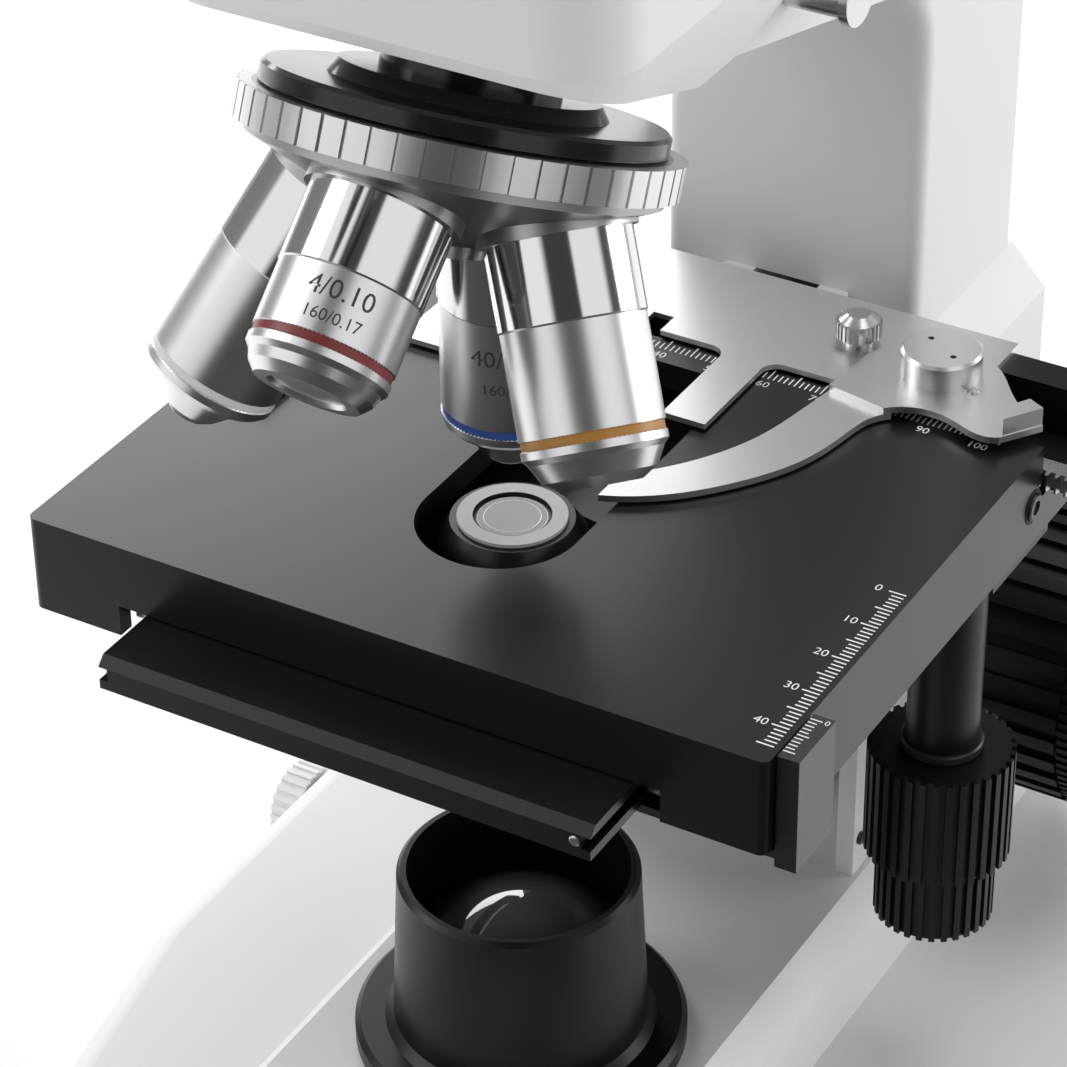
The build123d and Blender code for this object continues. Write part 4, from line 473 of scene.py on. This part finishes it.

# Painted highlights: thin near-white rings that stand for the glints on the edges of the condenser's top
# lens, each with its radius and its level
PAINTED_RIM_HIGHLIGHTS = {"lens_rim_highlight_outer": (5.75, 158.30), "lens_rim_highlight_inner": (4.7, 158.40)}
RIM_HALF, RIM_TOP_HALF, RIM_RISE = 0.14, 0.07, 0.17
for name, (radius, level) in PAINTED_RIM_HIGHLIGHTS.items():
    profile = [(radius - RIM_HALF, 0.0), (radius + RIM_HALF, 0.0), (radius + RIM_TOP_HALF, RIM_RISE),
               (radius - RIM_TOP_HALF, RIM_RISE)]
    turned_piece(name, profile, (0, 0, level), UP, RIM_HIGHLIGHT_WHITE, "condenser", sides=64, ring=True,
                 smooth=True)

# Small screw on the lever's tail
LEVER_SCREW = (51.6, 65.0, STAGE_TOP + 2.7)
turned_piece("lever_screw", [(1.0, -0.3), (1.0, 0.25), (0.85, 0.4)], LEVER_SCREW, UP, STEEL, "lever",
             sides=20)

# Camera, in metres, from the scales and corners seen in the photograph
CAMERA_PLACE = Vector((0.2706, -0.4488, 0.5058))
CAMERA_TURN, CAMERA_DROP, CAMERA_ROLL = radians(30.72), radians(33.79), radians(-0.81)
FOCAL_LENGTH, SENSOR_WIDTH = 130.69, 36.0
right = Vector((cos(CAMERA_TURN), sin(CAMERA_TURN), 0.0))
back = Vector((sin(CAMERA_TURN) * cos(CAMERA_DROP), -cos(CAMERA_TURN) * cos(CAMERA_DROP), sin(CAMERA_DROP)))
up = back.cross(right)
rolled_right = right * cos(CAMERA_ROLL) + up * sin(CAMERA_ROLL)
rolled_up = up * cos(CAMERA_ROLL) - right * sin(CAMERA_ROLL)
lens = bpy.data.cameras.new("camera")
lens.sensor_width = SENSOR_WIDTH
lens.lens = FOCAL_LENGTH
lens.clip_start = 0.01
camera = bpy.data.objects.new("camera", lens)
camera.matrix_world = Matrix((
    (rolled_right.x, rolled_up.x, back.x, CAMERA_PLACE.x),
    (rolled_right.y, rolled_up.y, back.y, CAMERA_PLACE.y),
    (rolled_right.z, rolled_up.z, back.z, CAMERA_PLACE.z),
    (0.0, 0.0, 0.0, 1.0),
))
bpy.context.collection.objects.link(camera)
bpy.context.scene.camera = camera

# Print on the objectives: power and aperture, and below it tube length and cover glass
POWER_HEIGHT, TUBE_HEIGHT = 3.0, 1.9
for label, sizes in OBJECTIVES.items():
    power = label.removeprefix("objective_")
    facing = Vector(sizes["facing"] or back)
    barrel_text("power_" + power, sizes["power"], label, sizes["power_reach"], POWER_HEIGHT, facing)
    barrel_text("tube_" + power, "160/0.17", label, sizes["tube_reach"], TUBE_HEIGHT, facing)

# Floor of pale paper, in metres
FLOOR_HALF = 6
PAPER_SHADE, DARK_SHADE = 0.90, 0.04
DARK_STARTS, DARK_FULL = 0.03, 0.15
corners = [(-FLOOR_HALF, -FLOOR_HALF, 0), (FLOOR_HALF, -FLOOR_HALF, 0), (FLOOR_HALF, FLOOR_HALF, 0),
           (-FLOOR_HALF, FLOOR_HALF, 0)]
floor_mesh = bpy.data.meshes.new("floor")
floor_mesh.from_pydata(corners, [], [(0, 1, 2, 3)])
floor = bpy.data.objects.new("floor", floor_mesh)
bpy.context.collection.objects.link(floor)
floor_paper = grained("floor_paper", (PAPER_SHADE, PAPER_SHADE, PAPER_SHADE), 60, 0.7, 0.05)
floor_mesh.materials.append(floor_paper)

# In mirror images the floor turns dark towards the photograph's camera, and to the eye it stays white
tree = floor_paper.node_tree
path = node(tree, "ShaderNodeLightPath")
place = node(tree, "ShaderNodeTexCoord")
towards = node(tree, "ShaderNodeVectorMath", operation="DOT_PRODUCT")
towards.inputs[1].default_value = (sin(CAMERA_TURN), -cos(CAMERA_TURN), 0.0)
beyond = node(tree, "ShaderNodeMapRange", interpolation_type="SMOOTHSTEP", in_1=DARK_STARTS, in_2=DARK_FULL)
share = node(tree, "ShaderNodeMath", operation="MULTIPLY")
paper = node(tree, "ShaderNodeMix", data_type="RGBA")
paper.inputs[6].default_value = (PAPER_SHADE, PAPER_SHADE, PAPER_SHADE, 1.0)
paper.inputs[7].default_value = (DARK_SHADE, DARK_SHADE, DARK_SHADE, 1.0)
tree.links.new(place.outputs["Object"], towards.inputs[0])
tree.links.new(towards.outputs["Value"], beyond.inputs[0])
tree.links.new(path.outputs["Is Glossy Ray"], share.inputs[0])
tree.links.new(beyond.outputs[0], share.inputs[1])
tree.links.new(share.outputs[0], paper.inputs[0])
tree.links.new(paper.outputs[2], tree.nodes["Principled BSDF"].inputs["Base Color"])

# The room as the metal sees it, as shares of a turn from the photograph's camera and levels of light:
# dark behind the camera, white screens to its sides and behind the object
SCREENS = (
    (0.00, 0.07), (0.045, 0.07), (0.055, 1.20), (0.185, 1.20), (0.205, 0.12), (0.245, 0.12), (0.27, 0.85),
    (0.36, 0.85), (0.42, 0.30), (0.60, 0.30), (0.70, 0.30), (0.74, 0.35), (0.76, 1.25), (0.90, 1.25),
    (0.925, 0.07), (1.00, 0.07),
)
COLD_TINT = 1.01
world = bpy.data.worlds.new("studio")
bpy.context.scene.world = world
world.use_nodes = True
tree = world.node_tree
tree.nodes.clear()
path = node(tree, "ShaderNodeLightPath")
place = node(tree, "ShaderNodeTexCoord")
turned = node(tree, "ShaderNodeVectorRotate", rotation_type="Z_AXIS")
turned.inputs["Angle"].default_value = 1.5 * pi - CAMERA_TURN
around = node(tree, "ShaderNodeTexGradient", gradient_type="RADIAL")
screens = node(tree, "ShaderNodeValToRGB")
ramp = screens.color_ramp.elements
while len(ramp) < len(SCREENS):
    ramp.new(0.5)
for element, (turn, level) in zip(ramp, SCREENS):
    element.position = turn
    element.color = (level, level, level * COLD_TINT, 1.0)
studio = node(tree, "ShaderNodeBackground", in_1=0.75)
plain = node(tree, "ShaderNodeBackground", in_1=1.0)
plain.inputs[0].default_value = (1.0, 1.0, 1.0, 1.0)
seen = node(tree, "ShaderNodeMath", operation="MAXIMUM")
mix = node(tree, "ShaderNodeMixShader")
sky = node(tree, "ShaderNodeOutputWorld")
tree.links.new(place.outputs["Generated"], turned.inputs["Vector"])
tree.links.new(turned.outputs["Vector"], around.inputs["Vector"])
tree.links.new(around.outputs["Fac"], screens.inputs["Fac"])
tree.links.new(screens.outputs["Color"], studio.inputs[0])
tree.links.new(path.outputs["Is Camera Ray"], seen.inputs[0])
tree.links.new(path.outputs["Is Transmission Ray"], seen.inputs[1])
tree.links.new(seen.outputs[0], mix.inputs[0])
tree.links.new(studio.outputs[0], mix.inputs[1])
tree.links.new(plain.outputs[0], mix.inputs[2])
tree.links.new(mix.outputs[0], sky.inputs[0])


def softbox(name, place, aim, width, height, power):
    """Rectangular lamp at a place, aimed at a point, in metres and watts."""
    lamp = bpy.data.lights.new(name, "AREA")
    lamp.shape = "RECTANGLE"
    lamp.size = width
    lamp.size_y = height
    lamp.energy = power
    holder = bpy.data.objects.new(name, lamp)
    holder.location = place
    holder.rotation_euler = (Vector(aim) - Vector(place)).to_track_quat("-Z", "Y").to_euler()
    bpy.context.collection.objects.link(holder)
    return holder


softbox("back_left_box", (-1.044, 0.876, 0.656), (0, 0, 0.16), 1.0, 0.75, 12)
softbox("back_right_box", (1.05, 0.95, 0.40), (0.05, 0, 0.14), 0.8, 0.6, 6)
softbox("left_box", (-1.1, -0.5, 1.0), (0, 0, 0.2), 0.6, 0.8, 6)
softbox("top_box", (0.1, 0.3, 1.5), (0, 0, 0.2), 1.2, 0.8, 10)

bpy.context.scene.view_settings.view_transform = "Standard"
